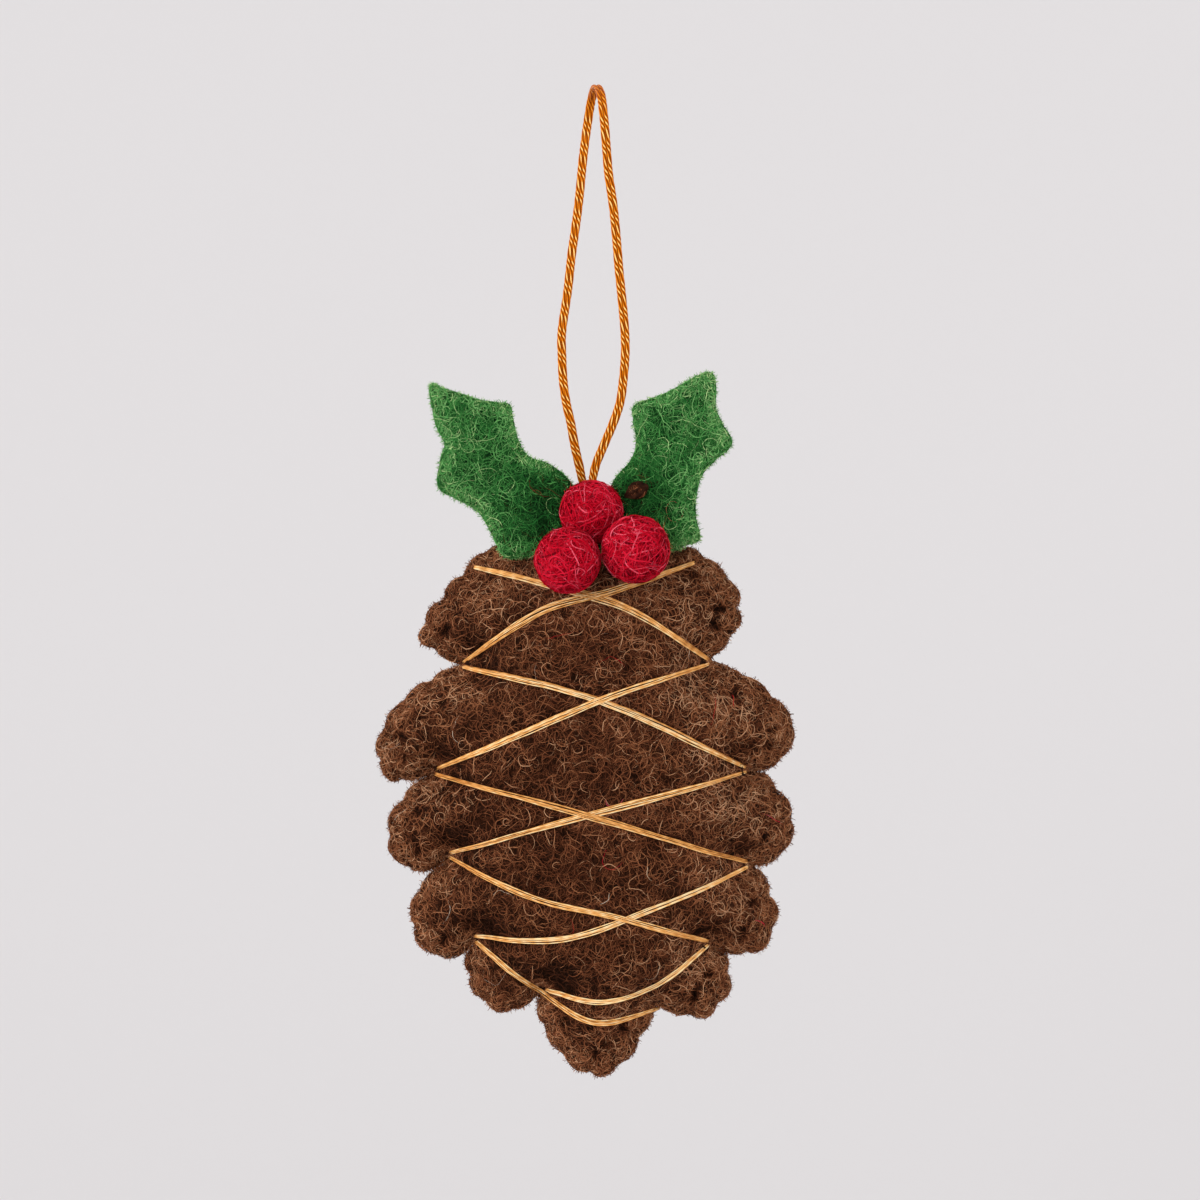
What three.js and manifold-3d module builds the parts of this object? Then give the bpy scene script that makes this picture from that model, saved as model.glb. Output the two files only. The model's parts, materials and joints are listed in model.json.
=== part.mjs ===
// A felt pinecone that hangs on a loop of cord: two sewn felt panels round a stuffing, laced with
// floss across both faces, with two felt holly leaves and three felt berries over the top seam.
// Millimetres, +Z up, the front faces -Y. The origin is the inside of the top of the loop.
import * as THREE from "three";
import { mergeVertices } from "three/addons/utils/BufferGeometryUtils.js";
import Module from "manifold-3d";

const wasm = await Module();
wasm.setup();

// Sizes that pieces share
const clearance = 0.3;
const weldDistance = 0.001;
const overrun = 2;

// The hanging cord, a flat pair of twisted strands
const cordWidth = 1.5;
const barRadius = 5;
const swingCutRadius = 9;
const neckRadius = 0.9;
const neckLength = 9.8;
const knotRadius = 1.8;
const knotDrop = 4.8;

// The stuffed body
const bodyWidth = 64.8;
const bodyHeight = 82.5;
const bodyDepth = 22;
const feltThickness = 1.5;
const seamGap = 0.3;
const stuffingGap = 1;
const stuffingInset = 5;
const stuffingTolerance = 0.02;
const domeStart = 1;
const domeReach = 22;
const rimRounding = 0.35;
const seamGrooveDepth = 0.6;
const scallopHeight = 0.35;
const stitchDimple = 0.7;

// The threads
const flossWidth = 1.15;
const flossThickness = 0.5;
const flossEndWidth = 0.7;
const turnGap = 1.2;
const seamThreadRadius = 0.2;
const berryThreadRadius = 0.25;

// The leaves, the berries and the bud
const leafSize = 27;
const leafThickness = 1.8;
const leafStand = 4.7;
const leafLean = THREE.MathUtils.degToRad(7);
const nestGap = 0.45;
const topBerryRadius = 4.7;
const leftBerryRadius = 4.85;
const rightBerryRadius = 5;
const topBerryAcross = 0.65;
const topBerryRise = 5.3;
const topBerryStand = 6;
const leftBerryAcross = -3;
const rightBerryLift = 1.7;
const budLength = 3.5;
const budHeight = 2.8;
const budThickness = 1.2;
const budAcross = 7.7;
const budRise = 8.6;

// The cord's route, from the back leg's foot up, over the bar and down to the front leg's foot.
const cordRoute = [
  [-2.2, 0.6, -61.3],
  [-2.7, 0.8, -58.8],
  [-3.5, 1.2, -55.2],
  [-4.1, 1.5, -51.7],
  [-4.8, 1.8, -48.6],
  [-5.3, 2.1, -45.0],
  [-5.5, 2.5, -40.9],
  [-5.5, 2.8, -37.2],
  [-4.6, 3.4, -30.8],
  [-4.0, 3.9, -25.2],
  [-3.4, 4.3, -20.9],
  [-2.8, 4.7, -16.1],
  [-2.2, 5.3, -9.8],
  [-1.6, 5.75, -5.0],
  [-0.9, 4.07, -0.93],
  [-0.2, 0.0, 0.75],
  [0.6, -4.07, -0.93],
  [1.1, -5.75, -5.0],
  [1.5, -5.3, -9.8],
  [1.8, -4.9, -13.3],
  [2.5, -4.5, -18.1],
  [3.0, -4.0, -23.0],
  [3.4, -3.6, -27.8],
  [3.9, -3.2, -32.7],
  [4.3, -2.8, -37.2],
  [4.4, -2.5, -40.9],
  [4.1, -2.1, -45.0],
  [3.6, -1.8, -48.6],
  [2.5, -1.5, -51.9],
  [1.1, -1.2, -55.2],
  [-0.2, -0.8, -58.4],
  [-0.8, -0.6, -61.3],
];
const cordSides = 8;
const cordSteps = 56;

// The body's lobes from the top round by the right side, as shares of its width and height.
// Each runs from one notch's root to the next, and is sewn with that many stitches.
const lobeShares = [
  {
    stitches: 16,
    points: [
      [-0.303, 0.224], [-0.385, 0.188], [-0.399, 0.153], [-0.356, 0.1], [-0.284, 0.036],
      [-0.219, 0.002], [0, 0], [0.218, 0.002], [0.3, 0.028], [0.355, 0.078],
      [0.367, 0.133], [0.34, 0.178], [0.293, 0.214],
    ],
  },
  {
    stitches: 5,
    points: [
      [0.293, 0.214], [0.389, 0.248], [0.468, 0.299], [0.497, 0.347], [0.473, 0.398],
      [0.427, 0.419], [0.386, 0.421],
    ],
  },
  {
    stitches: 4,
    points: [
      [0.386, 0.421], [0.425, 0.432], [0.463, 0.462], [0.495, 0.515], [0.48, 0.568],
      [0.439, 0.597], [0.391, 0.603],
    ],
  },
  {
    stitches: 4,
    points: [
      [0.391, 0.603], [0.42, 0.619], [0.442, 0.653], [0.454, 0.697], [0.434, 0.748],
      [0.386, 0.771], [0.336, 0.765], [0.297, 0.755],
    ],
  },
  {
    stitches: 4,
    points: [
      [0.297, 0.755], [0.326, 0.769], [0.343, 0.805], [0.331, 0.852], [0.28, 0.888],
      [0.222, 0.884], [0.167, 0.869],
    ],
  },
  {
    stitches: 6,
    points: [
      [0.167, 0.869], [0.133, 0.922], [0.09, 0.973], [0.022, 1], [-0.043, 0.975],
      [-0.093, 0.926], [-0.117, 0.881], [-0.113, 0.843],
    ],
  },
  {
    stitches: 4,
    points: [
      [-0.113, 0.843], [-0.17, 0.875], [-0.221, 0.875], [-0.269, 0.843], [-0.291, 0.801],
      [-0.288, 0.773], [-0.275, 0.753],
    ],
  },
  {
    stitches: 4,
    points: [
      [-0.275, 0.753], [-0.303, 0.769], [-0.353, 0.777], [-0.404, 0.75], [-0.423, 0.703],
      [-0.409, 0.65], [-0.373, 0.617], [-0.339, 0.592],
    ],
  },
  {
    stitches: 4,
    points: [
      [-0.339, 0.592], [-0.38, 0.61], [-0.428, 0.61], [-0.474, 0.574], [-0.479, 0.528],
      [-0.452, 0.481], [-0.419, 0.453], [-0.37, 0.429],
    ],
  },
  {
    stitches: 6,
    points: [
      [-0.37, 0.429], [-0.426, 0.44], [-0.476, 0.441], [-0.505, 0.398], [-0.491, 0.341],
      [-0.447, 0.292], [-0.375, 0.248], [-0.303, 0.224],
    ],
  },
];

// The line inside the body that the notches point to, and the round form that its crown takes.
const notchRiseShare = 0.145;
const spineTopShare = 0.18;
const spineFootShare = 0.73;
const crownCentreShare = 0.46;
const crownAcrossShare = 0.4;
const crownUpShare = 0.47;
const domePower = 2.9;
const outerRingShares = [0.3, 0.58, 0.8, 0.93];
const innerRingShares = [0.9, 0.55];
const stuffingRimShare = 0.93;
const crownEndShare = 0.4;
const ownPlaceShare = 0.95;
const crownSmoothingSteps = 6;

// Where the floss turns at the notches on the left and right, as shares of the width and height.
const leftTurnShares = [
  [-0.264, 0.04], [-0.29, 0.221], [-0.356, 0.424], [-0.322, 0.583], [-0.262, 0.742], [-0.09, 0.838],
];
const rightTurnShares = [
  [0.249, 0.032], [0.283, 0.216], [0.371, 0.42], [0.377, 0.6], [0.283, 0.75], [0.155, 0.877],
];
// How far each run stands above its straight line at one third and two thirds of its way, for the
// runs that start on the left and on the right, from the top down.
const leftRunBows = [[1.8, 2.8], [2.1, 2], [0.6, 0.45], [-1.4, -0.3], [-3.5, -4.9]];
const rightRunBows = [[0.8, 2.6], [0.9, 0.6], [0.2, 0.4], [-2.1, -3.3], [-3.6, -3.5]];
const runSteps = 12;
const liftSteps = 3;

// The leaves' outlines, as shares of a leaf's size from the top of the seam.
const leftLeafShares = [
  [-0.9, 0.944], [-0.826, 0.915], [-0.733, 0.885], [-0.593, 0.841], [-0.456, 0.826],
  [-0.437, 0.77], [-0.407, 0.637], [-0.344, 0.526], [-0.211, 0.47], [-0.104, 0.378],
  [-0.04, 0.25], [-0.005, 0.1], [-0.005, -0.03], [-0.16, -0.03], [-0.311, -0.052],
  [-0.463, -0.063], [-0.515, 0.007], [-0.567, 0.111], [-0.63, 0.207], [-0.767, 0.285],
  [-0.856, 0.348], [-0.844, 0.493], [-0.819, 0.596], [-0.867, 0.696], [-0.907, 0.885],
];
const rightLeafShares = [
  [0.73, 0.989], [0.678, 1.011], [0.552, 0.944], [0.448, 0.885], [0.278, 0.822],
  [0.267, 0.741], [0.285, 0.607], [0.256, 0.504], [0.148, 0.37], [0.12, 0.25],
  [0.02, 0.1], [0.02, -0.02], [0.245, -0.022], [0.493, -0.019], [0.563, 0.011],
  [0.644, 0.044], [0.622, 0.163], [0.622, 0.278], [0.656, 0.411], [0.73, 0.496],
  [0.83, 0.596], [0.778, 0.707], [0.737, 0.811], [0.741, 0.907],
];

// Colours and finishes
const brownFelt = new THREE.MeshStandardMaterial({ color: 0x54382a, roughness: 0.95, metalness: 0 });
const greenFelt = new THREE.MeshStandardMaterial({ color: 0x2d7d41, roughness: 0.95, metalness: 0 });
const redFelt = new THREE.MeshStandardMaterial({ color: 0xbe1932, roughness: 0.95, metalness: 0 });
const goldFloss = new THREE.MeshStandardMaterial({ color: 0xd6a055, roughness: 0.45, metalness: 0 });
const orangeCord = new THREE.MeshStandardMaterial({ color: 0xd9871e, roughness: 0.4, metalness: 0 });
const brownThread = new THREE.MeshStandardMaterial({ color: 0x2e1c12, roughness: 0.9, metalness: 0 });
const redThread = new THREE.MeshStandardMaterial({ color: 0x8c1226, roughness: 0.8, metalness: 0 });
const whiteFill = new THREE.MeshStandardMaterial({ color: 0xe9e6e0, roughness: 1, metalness: 0 });

// A closed geometry as a solid that can be cut, with its faces turned out.
function solidOf(geometry) {
  const bare = geometry.index ? geometry.toNonIndexed() : geometry.clone();
  bare.deleteAttribute("normal");
  bare.deleteAttribute("uv");
  const merged = mergeVertices(bare, weldDistance);
  const source = merged.index.array;
  const kept = [];
  for (let i = 0; i < source.length; i += 3) {
    const [a, b, c] = [source[i], source[i + 1], source[i + 2]];
    if (a !== b && b !== c && a !== c) kept.push([a, b, c]);
  }
  const build = (faces) =>
    new wasm.Manifold(
      new wasm.Mesh({
        numProp: 3,
        vertProperties: merged.attributes.position.array,
        triVerts: new Uint32Array(faces.flat()),
      }),
    );
  const solid = build(kept);
  return solid.volume() > 0 ? solid : build(kept.map(([a, b, c]) => [a, c, b]));
}

function geometryOf(solid) {
  const mesh = solid.getMesh();
  const geometry = new THREE.BufferGeometry();
  geometry.setAttribute("position", new THREE.BufferAttribute(mesh.vertProperties, mesh.numProp));
  geometry.setIndex(new THREE.BufferAttribute(mesh.triVerts, 1));
  geometry.computeVertexNormals();
  return geometry;
}

function addPiece(group, name, solid, material) {
  const mesh = new THREE.Mesh(geometryOf(solid), material);
  mesh.name = name;
  group.add(mesh);
}

// A closed skin through rings that hold the same number of points, with a pole at either end. The
// faces before the mirror ring are split along their other diagonal.
function ringSkin(firstPole, rings, lastPole, mirrorRing = 0) {
  const count = rings[0].length;
  const points = [firstPole, ...rings.flat(), lastPole];
  const faces = [];
  const at = (ring, i) => 1 + ring * count + (i % count);
  for (let i = 0; i < count; i += 1) {
    faces.push(0, at(0, i), at(0, i + 1));
    for (let ring = 0; ring + 1 < rings.length; ring += 1) {
      const near = [at(ring, i), at(ring, i + 1)];
      const far = [at(ring + 1, i), at(ring + 1, i + 1)];
      if (ring < mirrorRing) faces.push(near[0], far[0], near[1], far[0], far[1], near[1]);
      else faces.push(near[0], far[0], far[1], near[0], far[1], near[1]);
    }
    faces.push(at(rings.length - 1, i), points.length - 1, at(rings.length - 1, i + 1));
  }
  const geometry = new THREE.BufferGeometry().setFromPoints(points);
  geometry.setIndex(faces);
  return geometry;
}

// A round rod between two points.
function rodSolid(from, to, radius, sides) {
  const along = to.clone().sub(from);
  const rod = new THREE.CylinderGeometry(radius, radius, along.length(), sides);
  const turn = new THREE.Quaternion().setFromUnitVectors(new THREE.Vector3(0, 1, 0), along.normalize());
  rod.applyQuaternion(turn);
  const middle = from.clone().lerp(to, 1 / 2);
  rod.translate(middle.x, middle.y, middle.z);
  return solidOf(rod);
}

function ballSolid(centre, radius, detail) {
  const ball = new THREE.IcosahedronGeometry(radius, detail);
  ball.translate(centre.x, centre.y, centre.z);
  return solidOf(ball);
}

// The cord over the bar, parted where the loop bends, on a cylinder round the bar's axis, so that
// the legs swing past the piece on the bar without meeting it.
function cordPieces() {
  const route = new THREE.CatmullRomCurve3(
    cordRoute.map((point) => new THREE.Vector3(...point)),
    false,
    "centripetal",
  );
  const section = new THREE.Shape();
  for (let i = 0; i < cordSides; i += 1) {
    const turn = (2 * Math.PI * i) / cordSides;
    const corner = [(cordWidth / 2) * Math.cos(turn), (cordWidth / 2) * Math.sin(turn)];
    if (i === 0) section.moveTo(...corner);
    else section.lineTo(...corner);
  }
  section.closePath();
  const tube = new THREE.ExtrudeGeometry(section, { steps: cordSteps, extrudePath: route });
  const whole = solidOf(tube);
  const roundBar = (radius) => {
    const reach = barRadius + overrun;
    const axisEnds = [-reach, reach].map((x) => new THREE.Vector3(x, 0, -barRadius));
    return rodSolid(...axisEnds, radius, 48);
  };
  const top = whole.intersect(roundBar(swingCutRadius - clearance / 2));
  const legs = whole.subtract(roundBar(swingCutRadius + clearance / 2)).decompose();
  const byDepth = legs.sort((a, b) => b.boundingBox().max[1] - a.boundingBox().max[1]);
  return { top, backLeg: byDepth[0], frontLeg: byDepth[1] };
}

// Where the two legs meet: the pinecone hangs from here.
const cordFoot = new THREE.Vector3(...cordRoute[0])
  .add(new THREE.Vector3(...cordRoute.at(-1)))
  .multiplyScalar(1 / 2);

// The body's edge, a point at each stitch and one between, each with the place inside that it
// is drawn towards. x runs across and z up from the seam's top.
function sampleEdge() {
  const samples = [];
  for (const lobe of lobeShares) {
    const outline = new THREE.SplineCurve(
      lobe.points.map(([across, down]) => new THREE.Vector2(across * bodyWidth, -down * bodyHeight)),
    );
    const count = 2 * lobe.stitches;
    outline.getSpacedPoints(count).slice(0, count).forEach((point, i) => {
      const stepsFromNotch = Math.min(i, count - i);
      const spineZ = THREE.MathUtils.clamp(
        point.y + notchRiseShare * bodyHeight,
        -spineFootShare * bodyHeight,
        -spineTopShare * bodyHeight,
      );
      const inward = new THREE.Vector2(0, spineZ).sub(point);
      const out = inward.clone().normalize().negate();
      let bump = 0;
      if (stepsFromNotch > 1) bump = i % 2 === 1 ? scallopHeight : -scallopHeight;
      samples.push({
        edge: point.clone().addScaledVector(out, bump),
        spine: new THREE.Vector2(0, spineZ),
        out,
        atStitch: i % 2 === 0,
      });
    });
  }
  addCrownAngles(samples);
  return samples;
}

// The angle at which each point meets the round crown, smoothed so that notches don't fold it.
function addCrownAngles(samples) {
  const centreZ = -crownCentreShare * bodyHeight;
  const angles = [];
  samples.forEach(({ edge }, i) => {
    let angle = Math.atan2(edge.y - centreZ, edge.x);
    if (i > 0) {
      while (angle > angles[i - 1] + Math.PI) angle -= 2 * Math.PI;
      while (angle < angles[i - 1] - Math.PI) angle += 2 * Math.PI;
    }
    angles.push(angle);
  });
  const count = samples.length;
  const reach = crownSmoothingSteps;
  samples.forEach((sample, i) => {
    let sum = 0;
    for (let step = -reach; step <= reach; step += 1) {
      const j = i + step;
      const turns = Math.floor(j / count);
      sum += angles[j - turns * count] - turns * 2 * Math.PI;
    }
    sample.crownAngle = sum / (2 * reach + 1);
  });
}

const edgeSamples = sampleEdge();
const rimDepth = seamGap / 2 + feltThickness;
const innerDepth = seamThreadRadius + clearance / 2;
const crownCentre = new THREE.Vector2(0, -crownCentreShare * bodyHeight);

// A point of the ring that lies at a share of the way out, in the body's plane.
function ringPlace(sample, share) {
  const own = sample.spine.clone().lerp(sample.edge, share);
  const round = new THREE.Vector2(
    crownAcrossShare * bodyWidth * Math.cos(sample.crownAngle),
    crownUpShare * bodyHeight * Math.sin(sample.crownAngle),
  );
  round.multiplyScalar(share).add(crownCentre);
  const follow = THREE.MathUtils.smoothstep(share, crownEndShare, ownPlaceShare);
  return round.lerp(own, follow);
}

// How far the felt's outside stands from the seam's plane: a dome that rises with the distance from
// the nearest edge, so that it is drawn in at the notches.
function domeDepth(place) {
  const fromEdge = Math.min(...edgeSamples.map(({ edge }) => place.distanceTo(edge)));
  const inside = 1 - THREE.MathUtils.clamp((fromEdge - domeStart) / domeReach, 0, 1);
  return rimDepth + (bodyDepth / 2 - rimDepth) * (1 - inside ** domePower);
}

function outerRing(ringIndex) {
  const share = outerRingShares[ringIndex];
  const last = ringIndex === outerRingShares.length - 1;
  return edgeSamples.map((sample) => {
    const place = ringPlace(sample, share);
    const dimple = last && sample.atStitch ? stitchDimple : 0;
    return new THREE.Vector3(place.x, -Math.max(domeDepth(place) - dimple, rimDepth), place.y);
  });
}

const outerRings = outerRingShares.map((share, i) => outerRing(i));
const crownPole = new THREE.Vector3(crownCentre.x, -bodyDepth / 2, crownCentre.y);

// One felt panel: its domed outside, its rounded edge with half of the seam's groove, its inside.
function panelSolid(side) {
  const rimRing = (inset, depth) =>
    edgeSamples.map(({ edge, out }) => {
      const place = edge.clone().addScaledVector(out, -inset);
      return new THREE.Vector3(place.x, -depth, place.y);
    });
  const rim = [
    rimRing(rimRounding, rimDepth),
    rimRing(0, (rimDepth + seamGap / 2) / 2),
    rimRing(seamGrooveDepth, seamGap / 2),
  ];
  const inner = innerRingShares.map((share) =>
    edgeSamples.map((sample) => {
      const place = ringPlace(sample, share);
      const depth = domeDepth(place) - feltThickness;
      return new THREE.Vector3(place.x, -Math.max(depth, innerDepth), place.y);
    }),
  );
  const innerPole = crownPole.clone().setY(crownPole.y + feltThickness);
  const skin = ringSkin(crownPole, [...outerRings, ...rim, ...inner], innerPole);
  skin.scale(1, side, 1);
  return solidOf(skin);
}

// The stuffing, drawn in from the felt's inside and from the body's edge.
function stuffingSolid() {
  const ring = (share, side) =>
    edgeSamples.map((sample) => {
      const place = ringPlace(sample, share);
      const felt = domeDepth(place) - feltThickness;
      return new THREE.Vector3(place.x, side * Math.max(felt - stuffingGap, seamGap / 4), place.y);
    });
  const rim = edgeSamples.map((sample) => {
    const place = ringPlace(sample, stuffingRimShare);
    return new THREE.Vector3(place.x, 0, place.y);
  });
  const front = innerRingShares.map((share) => ring(share, -1)).reverse();
  const back = innerRingShares.map((share) => ring(share, 1));
  const poleDepth = bodyDepth / 2 - feltThickness - stuffingGap;
  const full = solidOf(
    ringSkin(
      new THREE.Vector3(crownCentre.x, -poleDepth, crownCentre.y),
      [...front, rim, ...back],
      new THREE.Vector3(crownCentre.x, poleDepth, crownCentre.y),
      front.length,
    ),
  );
  const outline = edgeSamples.map(({ edge }) => [edge.x, edge.y]);
  const inside = wasm.CrossSection.ofPolygons([outline], "NonZero").offset(-stuffingInset, "Round");
  const core = inside.extrude(bodyDepth, 0, 0, [1, 1], true).rotate([90, 0, 0]);
  return full.intersect(core).subtract(neckProfile(clearance)).simplify(stuffingTolerance);
}

// The cord's neck between the panels, and the knot that holds it in the stuffing.
function neckProfile(gap) {
  const radius = neckRadius + gap;
  const ball = knotRadius + gap;
  const meet = Math.sqrt(ball ** 2 - radius ** 2);
  const top = neckLength - clearance + (gap > 0 ? overrun : 0);
  const profile = [new THREE.Vector2(0, top), new THREE.Vector2(radius, top)];
  const start = Math.atan2(meet, radius);
  const steps = 6;
  for (let i = 0; i <= steps; i += 1) {
    const angle = start - ((start + Math.PI / 2) * i) / steps;
    const out = i === steps ? 0 : ball * Math.cos(angle);
    profile.push(new THREE.Vector2(out, ball * Math.sin(angle) - knotDrop));
  }
  const lathe = new THREE.LatheGeometry(profile, 12);
  lathe.rotateX(Math.PI / 2);
  return solidOf(lathe);
}

// How far the front felt stands out at a place, from the faces between its rings.
function feltStand(x, z) {
  const rings = [...outerRings, edgeSamples.map(({ edge, out }) => {
    const place = edge.clone().addScaledVector(out, -rimRounding);
    return new THREE.Vector3(place.x, -rimDepth, place.y);
  })];
  const count = edgeSamples.length;
  for (let i = 0; i < count; i += 1) {
    const next = (i + 1) % count;
    const faces = [[crownPole, rings[0][i], rings[0][next]]];
    for (let ring = 0; ring + 1 < rings.length; ring += 1) {
      faces.push([rings[ring][i], rings[ring + 1][i], rings[ring + 1][next]]);
      faces.push([rings[ring][i], rings[ring + 1][next], rings[ring][next]]);
    }
    for (const face of faces) {
      const found = depthOnFace(face, x, z);
      if (found !== null) return found;
    }
  }
  return rimDepth;
}

function depthOnFace([a, b, c], x, z) {
  const area = (b.x - a.x) * (c.z - a.z) - (c.x - a.x) * (b.z - a.z);
  if (area === 0) return null;
  const u = ((x - a.x) * (c.z - a.z) - (c.x - a.x) * (z - a.z)) / area;
  const v = ((b.x - a.x) * (z - a.z) - (x - a.x) * (b.z - a.z)) / area;
  if (u < 0 || v < 0 || u + v > 1) return null;
  return -(a.y + u * (b.y - a.y) + v * (c.y - a.y));
}

// A thread swept along places, each with its half width, its half thickness and its outward side.
function threadSolid(stations) {
  const rings = stations.map(({ place, up, halfWidth, halfThickness }, i) => {
    const before = stations[Math.max(i - 1, 0)].place;
    const after = stations[Math.min(i + 1, stations.length - 1)].place;
    const along = after.clone().sub(before).normalize();
    const across = along.clone().cross(up).normalize();
    return [
      place.clone().addScaledVector(up, halfThickness),
      place.clone().addScaledVector(across, halfWidth),
      place.clone().addScaledVector(up, -halfThickness),
      place.clone().addScaledVector(across, -halfWidth),
    ];
  });
  return solidOf(ringSkin(stations[0].place, rings, stations.at(-1).place));
}

// The sewing thread, which lies in the groove between the panels from one side of the neck
// all round the body to the other.
function seamThreadSolid(gap) {
  const topLobe = 2 * lobeShares[0].stitches;
  const count = edgeSamples.length;
  const start = topLobe / 2 + 1;
  const ordered = [];
  for (let i = 0; i < count - 1; i += 1) ordered.push(edgeSamples[(start + i) % count]);
  return threadSolid(
    ordered.map(({ edge, out }) => {
      const place = edge.clone().addScaledVector(out, -seamThreadRadius / 2);
      return {
        place: new THREE.Vector3(place.x, 0, place.y),
        up: new THREE.Vector3(0, -1, 0),
        halfWidth: seamThreadRadius + gap,
        halfThickness: seamThreadRadius + gap,
      };
    }),
  );
}

// The places where a run of floss starts and ends, parted by the turn's gap at each notch.
function turnPlace([across, down], step) {
  return new THREE.Vector2(across * bodyWidth, -down * bodyHeight + step * (turnGap / 2));
}

// One floss thread's runs from notch to notch, as places in the body's plane.
function flossRuns(startsLeft) {
  const sides = [leftTurnShares, rightTurnShares];
  const runs = [];
  for (let level = 0; level < leftRunBows.length; level += 1) {
    const fromLeft = level % 2 === (startsLeft ? 0 : 1);
    const [fromSide, toSide] = fromLeft ? sides : [sides[1], sides[0]];
    const [early, late] = (fromLeft ? leftRunBows : rightRunBows)[level];
    const last = level === leftRunBows.length - 1;
    const from = turnPlace(fromSide[level], level === 0 ? 0 : -1);
    const to = turnPlace(toSide[level + 1], last ? 0 : 1);
    const raised = (share, rise) => from.clone().lerp(to, share).add(new THREE.Vector2(0, rise));
    const bow = new THREE.SplineCurve([from, raised(1 / 3, early), raised(2 / 3, late), to]);
    runs.push(bow.getSpacedPoints(runSteps));
  }
  return runs;
}

// One floss thread's stations over the front face, each laid on the felt.
function flossStations(runs) {
  const stations = [];
  runs.forEach((run, level) => {
    run.forEach((place, i) => {
      const middle = Math.sin((Math.PI * i) / runSteps);
      const stand = feltStand(place.x, place.y) + clearance + flossThickness / 2;
      stations.push({
        place: new THREE.Vector3(place.x, stand, place.y),
        level,
        halfWidth: (flossEndWidth + (flossWidth - flossEndWidth) * middle) / 2,
        halfThickness: flossThickness / 2,
      });
    });
  });
  settleOnFelt(stations);
  return stations;
}

// Lifts a thread over the other one, where their runs of one level cross.
function liftOver(stations, otherStations, level) {
  const run = stations.filter((station) => station.level === level).map(({ place }) => place);
  const other = otherStations.filter((station) => station.level === level).map(({ place }) => place);
  for (let i = 0; i + 1 < run.length; i += 1) {
    for (let j = 0; j + 1 < other.length; j += 1) {
      const met = crossing(run[i], run[i + 1], other[j], other[j + 1]);
      if (!met) continue;
      const own = THREE.MathUtils.lerp(run[i].y, run[i + 1].y, met.share);
      const under = THREE.MathUtils.lerp(other[j].y, other[j + 1].y, met.otherShare);
      const lift = Math.max(under + flossThickness + clearance - own, 0);
      run.forEach((place, k) => {
        const stepsAway = Math.max(i - k, k - i - 1, 0);
        if (stepsAway < liftSteps) place.y += lift / (1 + stepsAway / 2);
      });
      return;
    }
  }
}

// How far along each of two steps they cross, seen from the front.
function crossing(from, to, otherFrom, otherTo) {
  const flat = (a, b) => new THREE.Vector2(b.x - a.x, b.z - a.z);
  const [step, otherStep, apart] = [flat(from, to), flat(otherFrom, otherTo), flat(from, otherFrom)];
  const turn = step.cross(otherStep);
  const share = apart.cross(otherStep) / turn;
  const otherShare = apart.cross(step) / turn;
  const meets = share >= 0 && share <= 1 && otherShare >= 0 && otherShare <= 1;
  return meets ? { share, otherShare } : null;
}

// A floss thread as a solid on the front or the back face.
function flossSolid(stations, side) {
  return threadSolid(
    stations.map((station) => ({
      ...station,
      place: station.place.clone().setY(side * station.place.y),
      up: new THREE.Vector3(0, side, 0),
    })),
  );
}

// Raises the stations of a thread wherever the felt between two of them stands too high for it.
function settleOnFelt(stations) {
  const rounds = 4;
  const checks = 4;
  for (let round = 0; round < rounds; round += 1) {
    for (let i = 0; i + 1 < stations.length; i += 1) {
      const [from, to] = [stations[i], stations[i + 1]];
      const along = to.place.clone().sub(from.place).setY(0).normalize();
      const across = new THREE.Vector3(-along.z, 0, along.x);
      let short = 0;
      for (let check = -1; check <= checks + 1; check += 1) {
        for (const edge of [-1, 0, 1]) {
          const at = from.place.clone().lerp(to.place, check / checks);
          at.addScaledVector(across, edge * Math.max(from.halfWidth, to.halfWidth));
          const base = edge === 0 ? from.halfThickness : 0;
          short = Math.max(short, feltStand(at.x, at.z) + base + clearance / 2 - at.y);
        }
      }
      from.place.y += short;
      to.place.y += short;
    }
  }
}

// A leaf is a felt plate that leans back from its sewn foot, cut clear of the berry beside it.
function leafSolid(outlineShares) {
  const outline = new THREE.Shape(
    outlineShares.map(([across, up]) => new THREE.Vector2(across * leafSize, up * leafSize)),
  );
  const plate = new THREE.ExtrudeGeometry(outline, { depth: leafThickness, bevelEnabled: false });
  plate.rotateX(Math.PI / 2);
  plate.translate(0, leafThickness / 2, 0);
  plate.rotateX(-leafLean);
  plate.translate(0, -leafStand, 0);
  const nest = ballSolid(topBerryPlace, topBerryRadius + nestGap, 3);
  return solidOf(plate).subtract(nest);
}

// The low berries stand in front of the leaves. The left one hangs under the top one, and the
// right one lies beside the left one.
const topBerryPlace = new THREE.Vector3(topBerryAcross, -topBerryStand, topBerryRise);
const lowBerryStand = leafStand + leafThickness / 2 + rightBerryRadius + 2 * clearance;
const leftBerryPlace = new THREE.Vector3(leftBerryAcross, -lowBerryStand, 0);
const leftBerryReach = topBerryRadius + leftBerryRadius + clearance;
const leftBerryFlat = Math.hypot(leftBerryAcross - topBerryAcross, lowBerryStand - topBerryStand);
leftBerryPlace.z = topBerryRise - Math.sqrt(leftBerryReach ** 2 - leftBerryFlat ** 2);
const rightBerryPlace = new THREE.Vector3(
  leftBerryAcross + leftBerryRadius + rightBerryRadius + 2 * clearance,
  -lowBerryStand,
  leftBerryPlace.z + rightBerryLift,
);

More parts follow.
